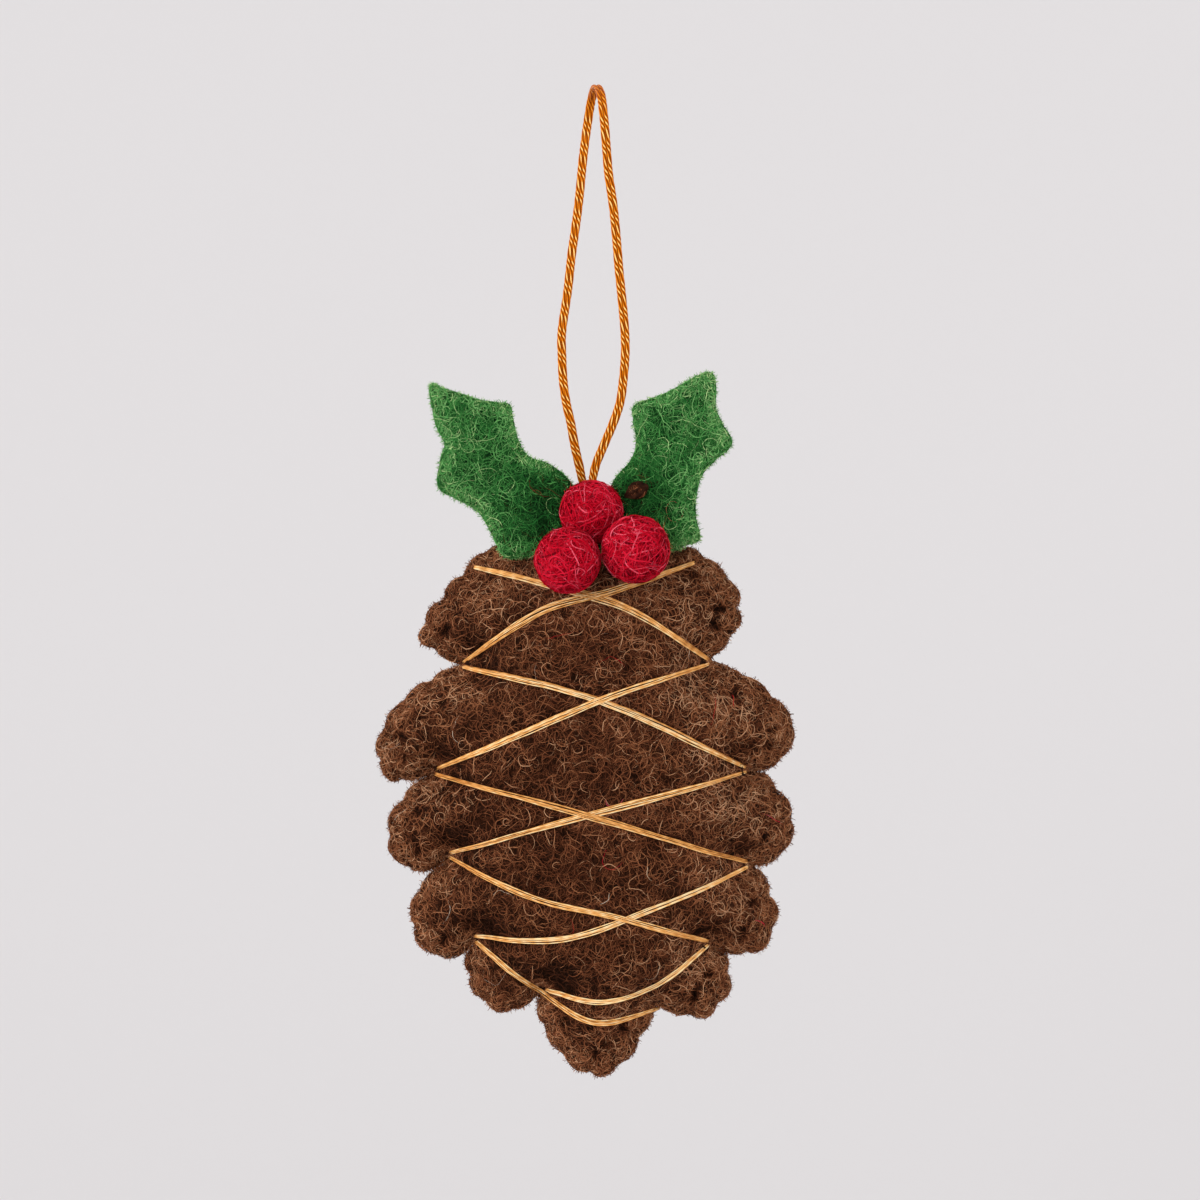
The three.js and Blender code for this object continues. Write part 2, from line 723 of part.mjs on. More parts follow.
// The red thread that strings the berries and ties them back to the cord's neck.
function berryThreadSolid(gap) {
  const radius = berryThreadRadius + gap;
  const tieEnd = new THREE.Vector3(topBerryPlace.x, -neckRadius - clearance, topBerryPlace.z);
  const spans = [
    [topBerryPlace, leftBerryPlace],
    [leftBerryPlace, rightBerryPlace],
    [rightBerryPlace, topBerryPlace],
    [topBerryPlace, tieEnd],
  ];
  const bends = [topBerryPlace, leftBerryPlace, rightBerryPlace];
  const rods = spans.map(([from, to]) => rodSolid(from, to, radius, 8));
  const balls = bends.map((place) => ballSolid(place, radius + clearance / 2, 1));
  return [...rods, ...balls].reduce((joined, piece) => joined.add(piece));
}

// The small brown bud of wool on the right leaf's face.
function budSolid() {
  const bud = new THREE.IcosahedronGeometry(1, 2);
  bud.scale(budLength / 2, budThickness / 2, budHeight / 2);
  const leafFace = leafStand - budRise * Math.tan(leafLean) + leafThickness / 2 / Math.cos(leafLean);
  bud.translate(budAcross, -(leafFace + clearance + budThickness / 2), budRise);
  return solidOf(bud);
}

const ornament = new THREE.Group();
const cord = cordPieces();
addPiece(ornament, "cord_top", cord.top, orangeCord);
addPiece(ornament, "cord_leg_left", cord.backLeg, orangeCord);
addPiece(ornament, "cord_leg_right", cord.frontLeg, orangeCord);

const pinecone = new THREE.Group();
pinecone.position.set(cordFoot.x, cordFoot.y, cordFoot.z - neckLength);
ornament.add(pinecone);

const neckHole = neckProfile(clearance);
addPiece(pinecone, "cord_knot", neckProfile(0), orangeCord);
addPiece(pinecone, "front_panel", panelSolid(1).subtract(neckHole), brownFelt);
addPiece(pinecone, "back_panel", panelSolid(-1).subtract(neckHole), brownFelt);
addPiece(pinecone, "stuffing", stuffingSolid(), whiteFill);
addPiece(pinecone, "seam_thread", seamThreadSolid(0), brownThread);

const flossA = flossStations(flossRuns(true));
const flossB = flossStations(flossRuns(false));
for (const level of [1, 2]) liftOver(flossA, flossB, level);
for (const level of [0, 3, 4]) liftOver(flossB, flossA, level);
const faces = [["front", -1], ["back", 1]];
for (const [faceName, side] of faces) {
  addPiece(pinecone, `lacing_${faceName}_a`, flossSolid(flossA, side), goldFloss);
  addPiece(pinecone, `lacing_${faceName}_b`, flossSolid(flossB, side), goldFloss);
}

const berryBore = berryThreadSolid(clearance);
const berries = [
  ["berry_top", topBerryPlace, topBerryRadius],
  ["berry_left", leftBerryPlace, leftBerryRadius],
  ["berry_right", rightBerryPlace, rightBerryRadius],
];
for (const [name, place, radius] of berries) {
  addPiece(pinecone, name, ballSolid(place, radius, 3).subtract(berryBore), redFelt);
}
addPiece(pinecone, "berry_thread", berryThreadSolid(0), redThread);
addPiece(pinecone, "leaf_left", leafSolid(leftLeafShares), greenFelt);
addPiece(pinecone, "leaf_right", leafSolid(rightLeafShares), greenFelt);
addPiece(pinecone, "wool_bud", budSolid(), brownThread);

export default ornament;
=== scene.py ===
# A felt pinecone ornament on a loop of cord: the detailed pieces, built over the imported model,
# which is the fixed frame. Metres, +Z up, the front faces -Y.
import json
import math

import bmesh
import bpy
import numpy as np
from mathutils import Euler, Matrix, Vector, noise
from mathutils.geometry import delaunay_2d_cdt


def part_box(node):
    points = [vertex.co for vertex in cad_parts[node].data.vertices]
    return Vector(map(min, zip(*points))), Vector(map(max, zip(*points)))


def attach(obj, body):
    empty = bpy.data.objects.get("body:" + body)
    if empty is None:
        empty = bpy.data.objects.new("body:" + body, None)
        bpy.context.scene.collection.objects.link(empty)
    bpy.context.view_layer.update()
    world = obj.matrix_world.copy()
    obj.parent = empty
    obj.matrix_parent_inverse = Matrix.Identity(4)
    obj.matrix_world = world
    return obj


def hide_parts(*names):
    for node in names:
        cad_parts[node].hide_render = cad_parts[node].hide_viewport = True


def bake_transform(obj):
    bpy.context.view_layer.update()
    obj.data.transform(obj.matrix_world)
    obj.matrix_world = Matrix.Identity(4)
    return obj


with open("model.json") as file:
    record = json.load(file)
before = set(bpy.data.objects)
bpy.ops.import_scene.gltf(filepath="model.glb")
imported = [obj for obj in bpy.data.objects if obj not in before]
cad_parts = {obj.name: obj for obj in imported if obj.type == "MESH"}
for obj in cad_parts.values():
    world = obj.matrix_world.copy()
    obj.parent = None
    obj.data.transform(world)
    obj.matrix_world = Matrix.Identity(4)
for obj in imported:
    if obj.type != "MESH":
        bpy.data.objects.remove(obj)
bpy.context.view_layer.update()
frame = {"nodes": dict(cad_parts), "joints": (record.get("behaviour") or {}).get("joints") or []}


def joint_place(name):
    """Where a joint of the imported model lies."""
    joint = next(j for j in frame["joints"] if j["name"] == name)
    return np.array(joint["pos_m"])


# Places that come from the frame
SEAM_TOP = joint_place("bend_left_leaf") * (1, 0, 1)
CORD_FOOT = joint_place("spin_on_cord")

# The body
BODY_WIDTH = 0.0648
BODY_HEIGHT = 0.0825
HALF_DEPTH = 0.011
FELT_THICKNESS = 0.0015
SEAM_GAP = 0.0003
FUZZ = 0.00025
SCALLOP = 0.0007
SCALLOP_MEAN_SHARE = 0.6
SCALLOP_SPREAD_SHARE = 0.6
SCALLOP_LUMP = 0.004
STITCH_INSET = 0.0028
HOLE_LENGTH = 0.0011
HOLE_DEPTH = 0.0011
HOLE_REACH = 0.0006
DOME_START = 0.0011
DOME_REACH = 0.0075
DOME_POWER = 0.85
DOME_ROUNDS = 2600

# The felt: its rounded rim, the puffs between stitches and the valley along them, how it is drawn
# in where the floss turns and pressed down along it, and the lumps of its middle.
EDGE_ROUNDING = 0.0015
RIM_SHARE = 0.3
THINNEST = 0.0003
PUFF = 0.0004
PUFF_INSET = 0.0014
PUFF_REACH = 0.0012
VALLEY = 0.00015
VALLEY_REACH = 0.0008
DRAWN_IN_SHARE = 0.5
DRAWN_IN_REACH = 0.0032
FLOSS_PRESS = 0.0003
FLOSS_PRESS_REACH = 0.0008
FLOSS_SINK = 0.0005
FLOSS_SINK_REACH = 0.004
LUMP = 0.00028
LUMP_SIZE = 0.0052
FINE_LUMP = 0.00014
FINE_LUMP_SIZE = 0.0017
LUMPS_START = 0.0005
LUMPS_FULL = 0.004

STITCH_SUNK = 0.00012
STITCH_STEPS = 7
SEAM_THREAD_RADIUS = 0.0002
SEAM_THREAD_SIDES = 6
SEAM_THREAD_UP = (0.6, 0.1, 0.8)
FILL_INSET = 0.0008
FILL_GAP = 0.0002

# How finely the outlines, the grids and the felt's skins are divided
EDGE_STEPS = 12
SPLINE_STEPS = 24
GRID_STEP = 0.00035
GRID_MARGIN = 0.003
BODY_ROWS = [0.00012, 0.00036, 0.0007, 0.0012]
BODY_SPACING = 0.00055
LEAF_ROWS = [0.0002, 0.0005]
LEAF_SPACING = 0.0006
LEAF_EDGE_POINTS = 260
ROW_ROOM_SHARE = 0.92
MIDDLE_ROOM_SHARE = 0.7
LATTICE = 64
BLOCK = 2500
TINY = 1e-12
CELL_EDGE_SHARE = 0.001
MERGE_GAP = 1e-9

# The floss
FLOSS_WIDTH = 0.0011
FLOSS_END_WIDTH = 0.0004
FLOSS_NARROWING_SHARE = 0.07
FLOSS_TAPER_SHARES = (0.02, 0.3)
FLOSS_STRANDS = 6
FLOSS_SIDES = 8
FLOSS_TONES = (0.3, 0.85)
# A painted highlight that comes and goes along each strand's twist
FLOSS_PAINTED_GLINT = 0.2
RUN_STEPS = 60
STRAND_PLACE_SHARES = (0.3, 0.7)
STRAND_SWAY_SHARES = [(0.09, (1, 2.5)), (0.03, (5, 9))]
STRAND_RADIUS = 0.00009
STRAND_TWIST = 0.0022
# Painted light on the strands' outer side, away from the felt, and painted shade under them, about a mean
# share
STRAND_PAINTED_CREST = 0.5
PAINTED_LIGHT_MEAN_SHARE = 0.4
TURN_GAP = 0.0012
TURN_STEPS = 8
TURN_REACH = 0.0012
FLOSS_STAND = 0.00022
CROSSING_LIFT = 0.00032
CROSSING_REACH = 0.0016
LEVELS_A_OVER_B = (1, 2)

# The leaves, the berries and the bud
LEAF_SIZE = 0.027
LEAF_STAND = 0.0047
LEAF_LEAN = math.radians(7)
LEAF_HALF_THICKNESS = 0.00072
LEAF_ROUNDING = 0.0007
LEAF_RIM_SHARE = 0.25
LEAF_LUMP = 0.00016
LEAF_LUMP_SIZE = 0.004
LEAF_FINE_LUMP = 0.00008
LEAF_FINE_LUMP_SIZE = 0.0014
LEAF_WARP = 0.0004
LEAF_WARP_SIZE = 0.011
LEAF_FOOT_SHADE = 0.0009
LEAF_FOOT_REACH = 0.01
NEST_GAP = 0.0003
BERRY_LUMP = 0.00022
BALL_DETAIL = 5
BALL_LUMPS = 2.1
BALL_FINE_LUMPS = 6
BALL_SHIFT = 900
BUD_RADII = (0.0019, 0.0006, 0.00125)
BUD_TILT = math.radians(24)
BUD_TIP_SHARE = 0.12
BUD_THINNING_SHARES = (0.45, 0.25)
BUD_FOLD_SHARE = 0.16
BUD_FOLDS = 5
BUD_FOLD_TURN = 2
BUD_WOOL_SHARE = 0.8

# Loose wool: how long, wide and curled its fibres are, how high they arch and stand loose, how far
# they may reach past an edge, and where on the ramp of colours they lie.
FIBRE_STAND = 0.00003
FIBRE_WIDTH_SHARES = (0.6, 1.4)
FIBRE_TIP_SHARE = 0.7
FIBRE_BEND = 1.35
TUFT_BEND = 1.5
MOST_RIBBON_FACES = 90000
# Painted shade and light on the wool: the crease depth that darkens it fully, the shares it is held to,
# how far in from the edge crease shade sets in, and the painted light near the body's edge
PAINTED_SHADE_DEPTH = 0.0014
PAINTED_SHADE_SHARES = (-0.3, 0.6)
PAINTED_CREASE_SHADE_INSETS = (0.0015, 0.0045)
BLUR_CELLS = 4
EDGE_PAINTED_LIGHT = 0.0002
EDGE_PAINTED_LIGHT_INSETS = (0.001, 0.012)
UNDER_WOOL = {
    "length": 0.0026, "width": 0.0001, "curl": 0.001, "wander": 0.25, "lift": 0.00012, "loose": 0.0001,
    "room": 0.0002, "tone": 0.1, "spread": 0.12, "steps": 7,
}
CURLY_WOOL = {
    "length": 0.0036, "width": 0.000082, "curl": 0.0011, "wander": 0.3, "lift": 0.00035, "loose": 0.0002,
    "room": 0.0003, "tone": 0.52, "spread": 0.2, "steps": 9,
}
LEAF_WOOL = {
    "length": 0.0055, "width": 0.00008, "curl": 0.0014, "wander": 0.22, "lift": 0.0003, "loose": 0.0003,
    "room": 0.0003, "tone": 0.58, "spread": 0.23, "steps": 12,
}
# Wool at the body's edge lies a little lighter on the ramp than the face's curls: partly the fuzz's paler
# colour, partly painted light on the lit rim
EDGE_WOOL = {
    "length": 0.002, "width": 0.0001, "curl": 0.0008, "wander": 0.3, "lift": 0.0003, "loose": 0.0002,
    "room": 0.0003, "tone": 0.62, "spread": 0.16, "steps": 7,
}
STRAY_WOOL = {
    "length": 0.005, "width": 0.00007, "curl": 0.003, "wander": 0.3, "lift": 0.0005, "loose": 0.0006,
    "room": 0.0006, "tone": 0.35, "spread": 0.3, "steps": 10,
}
WOUND_WOOL = {
    "length": 0.007, "width": 0.00016, "curl": 0.0024, "wander": 0.18, "lift": 0.00035, "loose": 0.0002,
    "room": 0, "tone": 0.55, "spread": 0.26, "steps": 12,
}
BERRY_FUZZ = {
    "length": 0.0034, "width": 0.0001, "curl": 0.0013, "wander": 0.25, "lift": 0.0004, "loose": 0.0006,
    "room": 0, "tone": 0.66, "spread": 0.2, "steps": 8,
}
BERRY_STRAY = {
    "length": 0.0045, "width": 0.00007, "curl": 0.0018, "wander": 0.3, "lift": 0.0006, "loose": 0.0016,
    "room": 0, "tone": 0.6, "spread": 0.2, "steps": 8,
}
TUFTS = {
    "length": 0.0012, "width": 0.00009, "curl": 0.0007, "wander": 0.5, "room": 0.0009, "tone": 0.58,
    "spread": 0.2, "steps": 6,
}
LEAF_UNDER_WOOL = UNDER_WOOL | {"tone": 0.07}
# The leaves' edge wool lies lighter on the ramp than their face's: partly the fuzz's paler colour, partly
# painted light on the lit rim
LEAF_EDGE_WOOL = EDGE_WOOL | {"tone": 0.78}
BERRY_UNDER_WOOL = UNDER_WOOL | {"tone": 0.2}
BUD_WOOL = UNDER_WOOL | {"tone": 0.45}
# The leaves' tufts lie lighter still: partly the fuzz's paler colour, partly painted light on the lit rim
LEAF_TUFTS = TUFTS | {"tone": 0.88, "width": 0.00008, "room": 0.0013}
BODY_UNDER_COUNT = 19000
BODY_CURL_COUNT = 14000
BODY_EDGE_COUNT = 6000
BODY_EDGE_BAND = (-0.0002, 0.0022)
BODY_TUFT_COUNT = 14000
STRAY_COUNT = 14
RED_STRAY_COUNT = 10
LEAF_UNDER_COUNT = 1800
LEAF_CURL_COUNT = 1500
LEAF_EDGE_COUNT = 1900
LEAF_EDGE_BAND = (-0.0003, 0.0012)
LEAF_TUFT_COUNT = 12000
LEAF_STRAY_COUNT = 40
BERRY_WOUND_COUNT = 600
BERRY_CURL_COUNT = 500
BERRY_FUZZ_COUNT = 550
BERRY_STRAY_COUNT = 50
BUD_WOOL_COUNT = 110

# The cord
CORD_WIDTH = 0.0015
CORD_STRAND_SPREAD = 0.00033
CORD_END_STEPS = 12
CORD_END_NARROWING_SHARE = 0.25
CORD_STEPS = 620
CORD_SIDES = 8
CORD_TONES = (0.28, 0.42)
PLIES = 4
PLY_RADIUS = 0.00018
PLY_ORBIT = 0.0002
PLY_LAY = 0.0054
PLY_SWAY = 0.4
PLY_SWAY_LENGTH = 0.0037
# Painted light on the plies' outer crests with painted shade in the grooves, and a painted highlight where
# a ply faces the front or the back
PLY_PAINTED_CREST = 0.55
PLY_GLINT = 1
SIDEWAYS = np.array((1.0, 0, 0))
NECK_STEPS = 70
NECK_STRANDS = 4
NECK_OVERLAP = 0.0006
NECK_TURNS = 0.9
NECK_ORBIT = 0.00052
NECK_WAIST_SHARE = 0.15
NECK_TONES = (0.3, 0.6)
KNOT_DROP = 0.0048
KNOT_SIZE = 0.0026
KNOT_STEPS = 72
KNOT_UP = (0.3, 0.2, 1.0)
KNOT_TONE = 0.4
CORD_ROUTE = [
    (-0.0022, 0.0006, -0.0613), (-0.0027, 0.0008, -0.0588), (-0.0035, 0.0012, -0.0552),
    (-0.0041, 0.0015, -0.0517), (-0.0048, 0.0018, -0.0486), (-0.0053, 0.0021, -0.0450),
    (-0.0055, 0.0025, -0.0409), (-0.0055, 0.0028, -0.0372), (-0.0046, 0.0034, -0.0308),
    (-0.0040, 0.0039, -0.0252), (-0.0034, 0.0043, -0.0209), (-0.0028, 0.0047, -0.0161),
    (-0.0022, 0.0053, -0.0098), (-0.0016, 0.00575, -0.0050), (-0.0009, 0.00407, -0.00093),
    (-0.0002, 0.0, 0.00075), (0.0006, -0.00407, -0.00093), (0.0011, -0.00575, -0.0050),
    (0.0015, -0.0053, -0.0098), (0.0018, -0.0049, -0.0133), (0.0025, -0.0045, -0.0181),
    (0.0030, -0.0040, -0.0230), (0.0034, -0.0036, -0.0278), (0.0039, -0.0032, -0.0327),
    (0.0043, -0.0028, -0.0372), (0.0044, -0.0025, -0.0409), (0.0041, -0.0021, -0.0450),
    (0.0036, -0.0018, -0.0486), (0.0025, -0.0015, -0.0519), (0.0011, -0.0012, -0.0552),
    (-0.0002, -0.0008, -0.0584), (-0.0008, -0.0006, -0.0613),
]

# The body's lobes from the top round by the right side: how many stitches sew each one, and its
# edge up to the next notch's root, as shares of the width and of the height down. A lobe starts at
# the root that ends the lobe before it.
LOBES = [
    (16, [
        (-0.385, 0.188), (-0.399, 0.153), (-0.356, 0.1), (-0.284, 0.036), (-0.219, 0.002),
        (0, 0), (0.218, 0.002), (0.3, 0.028), (0.355, 0.078), (0.367, 0.133),
        (0.34, 0.178), (0.293, 0.214),
    ]),
    (5, [
        (0.389, 0.248), (0.468, 0.299), (0.497, 0.347), (0.473, 0.398), (0.427, 0.419),
        (0.386, 0.421),
    ]),
    (4, [
        (0.425, 0.432), (0.463, 0.462), (0.495, 0.515), (0.48, 0.568), (0.439, 0.597),
        (0.391, 0.603),
    ]),
    (4, [
        (0.42, 0.619), (0.442, 0.653), (0.454, 0.697), (0.434, 0.748), (0.386, 0.771),
        (0.336, 0.765), (0.297, 0.755),
    ]),
    (4, [
        (0.326, 0.769), (0.343, 0.805), (0.331, 0.852), (0.28, 0.888), (0.222, 0.884),
        (0.167, 0.869),
    ]),
    (6, [
        (0.133, 0.922), (0.09, 0.973), (0.022, 1), (-0.043, 0.975), (-0.093, 0.926),
        (-0.117, 0.881), (-0.113, 0.843),
    ]),
    (4, [
        (-0.17, 0.875), (-0.221, 0.875), (-0.269, 0.843), (-0.291, 0.801), (-0.288, 0.773),
        (-0.275, 0.753),
    ]),
    (4, [
        (-0.303, 0.769), (-0.353, 0.777), (-0.404, 0.75), (-0.423, 0.703), (-0.409, 0.65),
        (-0.373, 0.617), (-0.339, 0.592),
    ]),
    (4, [
        (-0.38, 0.61), (-0.428, 0.61), (-0.474, 0.574), (-0.479, 0.528), (-0.452, 0.481),
        (-0.419, 0.453), (-0.37, 0.429),
    ]),
    (6, [
        (-0.426, 0.44), (-0.476, 0.441), (-0.505, 0.398), (-0.491, 0.341), (-0.447, 0.292),
        (-0.375, 0.248), (-0.303, 0.224),
    ]),
]

# Where the floss turns at the notches, and how far each run stands above its straight line at one
# third and two thirds of its way, for the runs that start on the left and on the right.
LEFT_TURNS = [
    (-0.264, 0.04), (-0.29, 0.221), (-0.356, 0.424), (-0.322, 0.583), (-0.262, 0.742), (-0.09, 0.838),
]
RIGHT_TURNS = [
    (0.249, 0.032), (0.283, 0.216), (0.371, 0.42), (0.377, 0.6), (0.283, 0.75), (0.155, 0.877),
]
LEFT_RUN_BOWS = [
    (0.0018, 0.0028), (0.0021, 0.002), (0.0006, 0.00045), (-0.0014, -0.0003), (-0.0035, -0.0049),
]
RIGHT_RUN_BOWS = [
    (0.0008, 0.0026), (0.0009, 0.0006), (0.0002, 0.0004), (-0.0021, -0.0033), (-0.0036, -0.0035),
]

# The leaves' outlines from the middle of the body's top seam, as shares of their size
LEFT_LEAF = [
    (-0.9, 0.944), (-0.826, 0.915), (-0.733, 0.885), (-0.593, 0.841), (-0.456, 0.826),
    (-0.437, 0.77), (-0.407, 0.637), (-0.344, 0.526), (-0.211, 0.47), (-0.104, 0.378),
    (-0.04, 0.25), (-0.005, 0.1), (-0.005, -0.03), (-0.16, -0.03), (-0.311, -0.052),
    (-0.463, -0.063), (-0.515, 0.007), (-0.567, 0.111), (-0.63, 0.207), (-0.767, 0.285),
    (-0.856, 0.348), (-0.844, 0.493), (-0.819, 0.596), (-0.867, 0.696), (-0.907, 0.885),
]
RIGHT_LEAF = [
    (0.73, 0.989), (0.678, 1.011), (0.552, 0.944), (0.448, 0.885), (0.278, 0.822),
    (0.267, 0.741), (0.285, 0.607), (0.256, 0.504), (0.148, 0.37), (0.12, 0.25),
    (0.02, 0.1), (0.02, -0.02), (0.245, -0.022), (0.493, -0.019), (0.563, 0.011),
    (0.644, 0.044), (0.622, 0.163), (0.622, 0.278), (0.656, 0.411), (0.73, 0.496),
    (0.83, 0.596), (0.778, 0.707), (0.737, 0.811), (0.741, 0.907),
]


# Lines and fields
def unit(vectors):
    return vectors / np.maximum(np.linalg.norm(vectors, axis=-1, keepdims=True), TINY)


def square_to(along, way):
    """The part of a way that is square to another one, one long."""
    return unit(way - along * (way * along).sum(-1, keepdims=True))


def bell(away, reach):
    return np.exp(-((away / reach) ** 2))


def smooth(value, low, high):
    share = np.clip((value - low) / (high - low), 0, 1)
    return share * share * (3 - 2 * share)


def rounded(distance, reach):
    """How high a rounded edge has risen at a distance from its end, as a share."""
    return np.sqrt(1 - (1 - np.clip(distance / reach, 0, 1)) ** 2)


def gone_along(line):
    """How far along a line each of its points lies."""
    return np.concatenate([[0], np.cumsum(np.linalg.norm(np.diff(line, axis=0), axis=1))])


def steps_from_end(count):
    """How many steps each point of a line lies from its nearer end."""
    return np.minimum(np.arange(count), np.arange(count)[::-1])


def spline(points, count):
    """count + 1 evenly spaced points along a smooth line through the given ones."""
    points = np.asarray(points, float)
    knots = np.vstack([points[:1], points, points[-1:]])
    share = np.linspace(0, 1, SPLINE_STEPS, endpoint=False)[:, None]
    fine = []
    for before, start, end, after in zip(knots, knots[1:], knots[2:], knots[3:]):
        leave, arrive = (end - before) / 2, (after - start) / 2
        cubic = 2 * start - 2 * end + leave + arrive
        square = 3 * end - 3 * start - 2 * leave - arrive
        fine.append(cubic * share**3 + square * share**2 + leave * share + start)
    fine = np.vstack([*fine, points[-1:]])
    gone = gone_along(fine)
    wanted = np.linspace(0, gone[-1], count + 1)
    return np.stack([np.interp(wanted, gone, axis) for axis in fine.T], axis=1)


def distance_to_line(points, starts, ends):
    """Each point's distance to the nearest of the steps, and which step and share of it that is."""
    steps = ends - starts
    square = np.maximum((steps**2).sum(1), TINY)
    away, nearest = np.empty(len(points)), np.empty(len(points))
    for block in np.array_split(np.arange(len(points)), 1 + len(points) // BLOCK):
        apart = points[block, None] - starts
        share = np.clip((apart * steps).sum(2) / square, 0, 1)
        gap = ((apart - share[..., None] * steps) ** 2).sum(2)
        best = gap.argmin(1)
        rows = np.arange(len(block))
        away[block] = np.sqrt(gap[rows, best])
        nearest[block] = best + share[rows, best]
    return away, nearest


def inside(points, loop):
    """Whether each point lies inside a closed outline."""
    (x0, z0), (x1, z1) = loop.T, np.roll(loop, -1, axis=0).T
    found = np.zeros(len(points), bool)
    for block in np.array_split(np.arange(len(points)), 1 + len(points) // BLOCK):
        x, z = points[block, :1], points[block, 1:]
        spans = (z0 > z) != (z1 > z)
        with np.errstate(divide="ignore", invalid="ignore"):
            cut = (x1 - x0) * (z - z0) / (z1 - z0) + x0
        found[block] = (spans & (x < cut)).sum(1) % 2 == 1
    return found


def grid_over(line):
    """The low corner, shape and points of a grid that covers an outline with room round it."""
    low = line.min(0) - GRID_MARGIN
    shape = np.ceil((line.max(0) + GRID_MARGIN - low) / GRID_STEP).astype(int) + 1
    cells = np.stack(np.meshgrid(*[np.arange(count) for count in shape], indexing="ij"), axis=-1)
    return low, shape, (low + cells * GRID_STEP).reshape(-1, 2)


def between(values, low, high, share):
    """Values read between the low and high grid points round each place, at a share of the way."""
    (x0, z0), (x1, z1) = np.moveaxis(low, -1, 0), np.moveaxis(high, -1, 0)
    u, v = share[..., 0], share[..., 1]
    if values.ndim > 2:
        u, v = u[..., None], v[..., None]
    low_side = values[x0, z0] * (1 - u) + values[x1, z0] * u
    high_side = values[x0, z1] * (1 - u) + values[x1, z1] * u
    return low_side * (1 - v) + high_side * v


class Field:
    """Values on a square grid, read smoothly between the grid's points."""

    def __init__(self, low, values):
        self.low, self.values = low, values

    def at(self, points):
        last = np.array(self.values.shape[:2]) - 1
        spot = np.clip((points - self.low) / GRID_STEP, 0, last - CELL_EDGE_SHARE)
        cell = spot.astype(int)
        return between(self.values, cell, cell + 1, spot - cell)

    def slope(self):
        """How steeply the values rise along each of the grid's two ways, as a field."""
        return Field(self.low, np.stack(np.gradient(self.values, GRID_STEP), axis=-1))


def cloud(points, size, seed):
    """Smooth noise between -1 and 1, with lumps of the given size."""
    lattice = np.random.default_rng(seed).uniform(-1, 1, (LATTICE, LATTICE))
    cells = points / size
    low = np.floor(cells).astype(int)
    return between(lattice, low % LATTICE, (low + 1) % LATTICE, smooth(cells - low, 0, 1))


# Meshes
def new_mesh(name, points, faces, material, body, tone=None):
    """A smooth shaded object that rides on a body. faces is an array with one row per face."""
    mesh = bpy.data.meshes.new(name)
    sides = faces.shape[1]
    mesh.vertices.add(len(points))
    mesh.vertices.foreach_set("co", np.asarray(points, np.float32).ravel())
    mesh.loops.add(faces.size)
    mesh.loops.foreach_set("vertex_index", faces.astype(np.int32).ravel())
    mesh.polygons.add(len(faces))
    mesh.polygons.foreach_set("loop_start", np.arange(0, faces.size, sides, dtype=np.int32))
    mesh.update(calc_edges=True)
    mesh.validate()
    mesh.polygons.foreach_set("use_smooth", np.ones(len(mesh.polygons), bool))
    if tone is not None:
        mesh.attributes.new("tone", "FLOAT", "POINT").data.foreach_set("value", tone.astype(np.float32))
    mesh.materials.append(material)
    piece = bpy.data.objects.new(name, mesh)
    bpy.context.scene.collection.objects.link(piece)
    if body:
        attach(piece, body)
    return piece


def tube_mesh(name, paths, ups, radius, sides, material, body, tone, lit_ways=None, painted_light_tone=0):
    """Round tubes along paths of equal counts. Their tone carries painted light on the side that
    faces the given lit ways, and painted shade on the others."""
    along = unit(np.gradient(paths, axis=1))
    across = unit(np.cross(along, ups))
    over = np.cross(across, along)
    turn = np.linspace(0, 2 * np.pi, sides, endpoint=False)
    ring = across[:, :, None] * np.cos(turn)[:, None] + over[:, :, None] * np.sin(turn)[:, None]
    points = paths[:, :, None] + ring * radius
    count, steps = paths.shape[:2]
    index = np.arange(count * steps * sides).reshape(count, steps, sides)
    after = np.roll(index, -1, axis=2)
    faces = np.stack([index[:, :-1], after[:, :-1], after[:, 1:], index[:, 1:]], axis=-1)
    tone = np.asarray(tone)[..., None] + np.zeros(index.shape)
    # Painted light on the side that faces the lit ways, painted shade on the others
    if lit_ways is not None:
        facing_lit = (ring * np.broadcast_to(lit_ways, paths.shape)[:, :, None]).sum(-1)
        crest_light_and_shade = np.clip(facing_lit, 0, 1) ** 2 - PAINTED_LIGHT_MEAN_SHARE
        tone += np.broadcast_to(painted_light_tone, (count, steps))[..., None] * crest_light_and_shade
    return new_mesh(name, points.reshape(-1, 3), faces.reshape(-1, 4), material, body, tone.ravel())


def stands_for(piece, slot, *nodes):
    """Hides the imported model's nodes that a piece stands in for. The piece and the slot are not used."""
    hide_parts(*nodes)


# Materials
MOTTLE_SCALE = 900
BUMP_SCALE = 2600
BUMP_STRENGTH = 0.9
BUMP_DEPTH = 0.0003


def linear(red, green, blue):
    """A colour as it is seen on a screen, from 0 to 255, as the shader's values."""

    def channel(value):
        share = value / 255
        return share / 12.92 if share <= 0.04045 else ((share + 0.055) / 1.055) ** 2.4

    return (channel(red), channel(green), channel(blue), 1)


def new_material(name, roughness, specular, shine=(255, 255, 255)):
    material = bpy.data.materials.new(name)
    material.use_nodes = True
    shader = material.node_tree.nodes["Principled BSDF"]
    shader.inputs["Roughness"].default_value = roughness
    shader.inputs["Specular IOR Level"].default_value = specular
    shader.inputs["Specular Tint"].default_value = linear(*shine)
    return material, material.node_tree, shader


def ramp_node(tree, stops):
    """A colour ramp through (place, colour) stops."""
    ramp = tree.nodes.new("ShaderNodeValToRGB")
    elements = ramp.color_ramp.elements
    while len(elements) < len(stops):
        elements.new(0.5)
    for element, (place, colour) in zip(elements, stops):
        element.position = place
        element.color = linear(*colour)
    return ramp


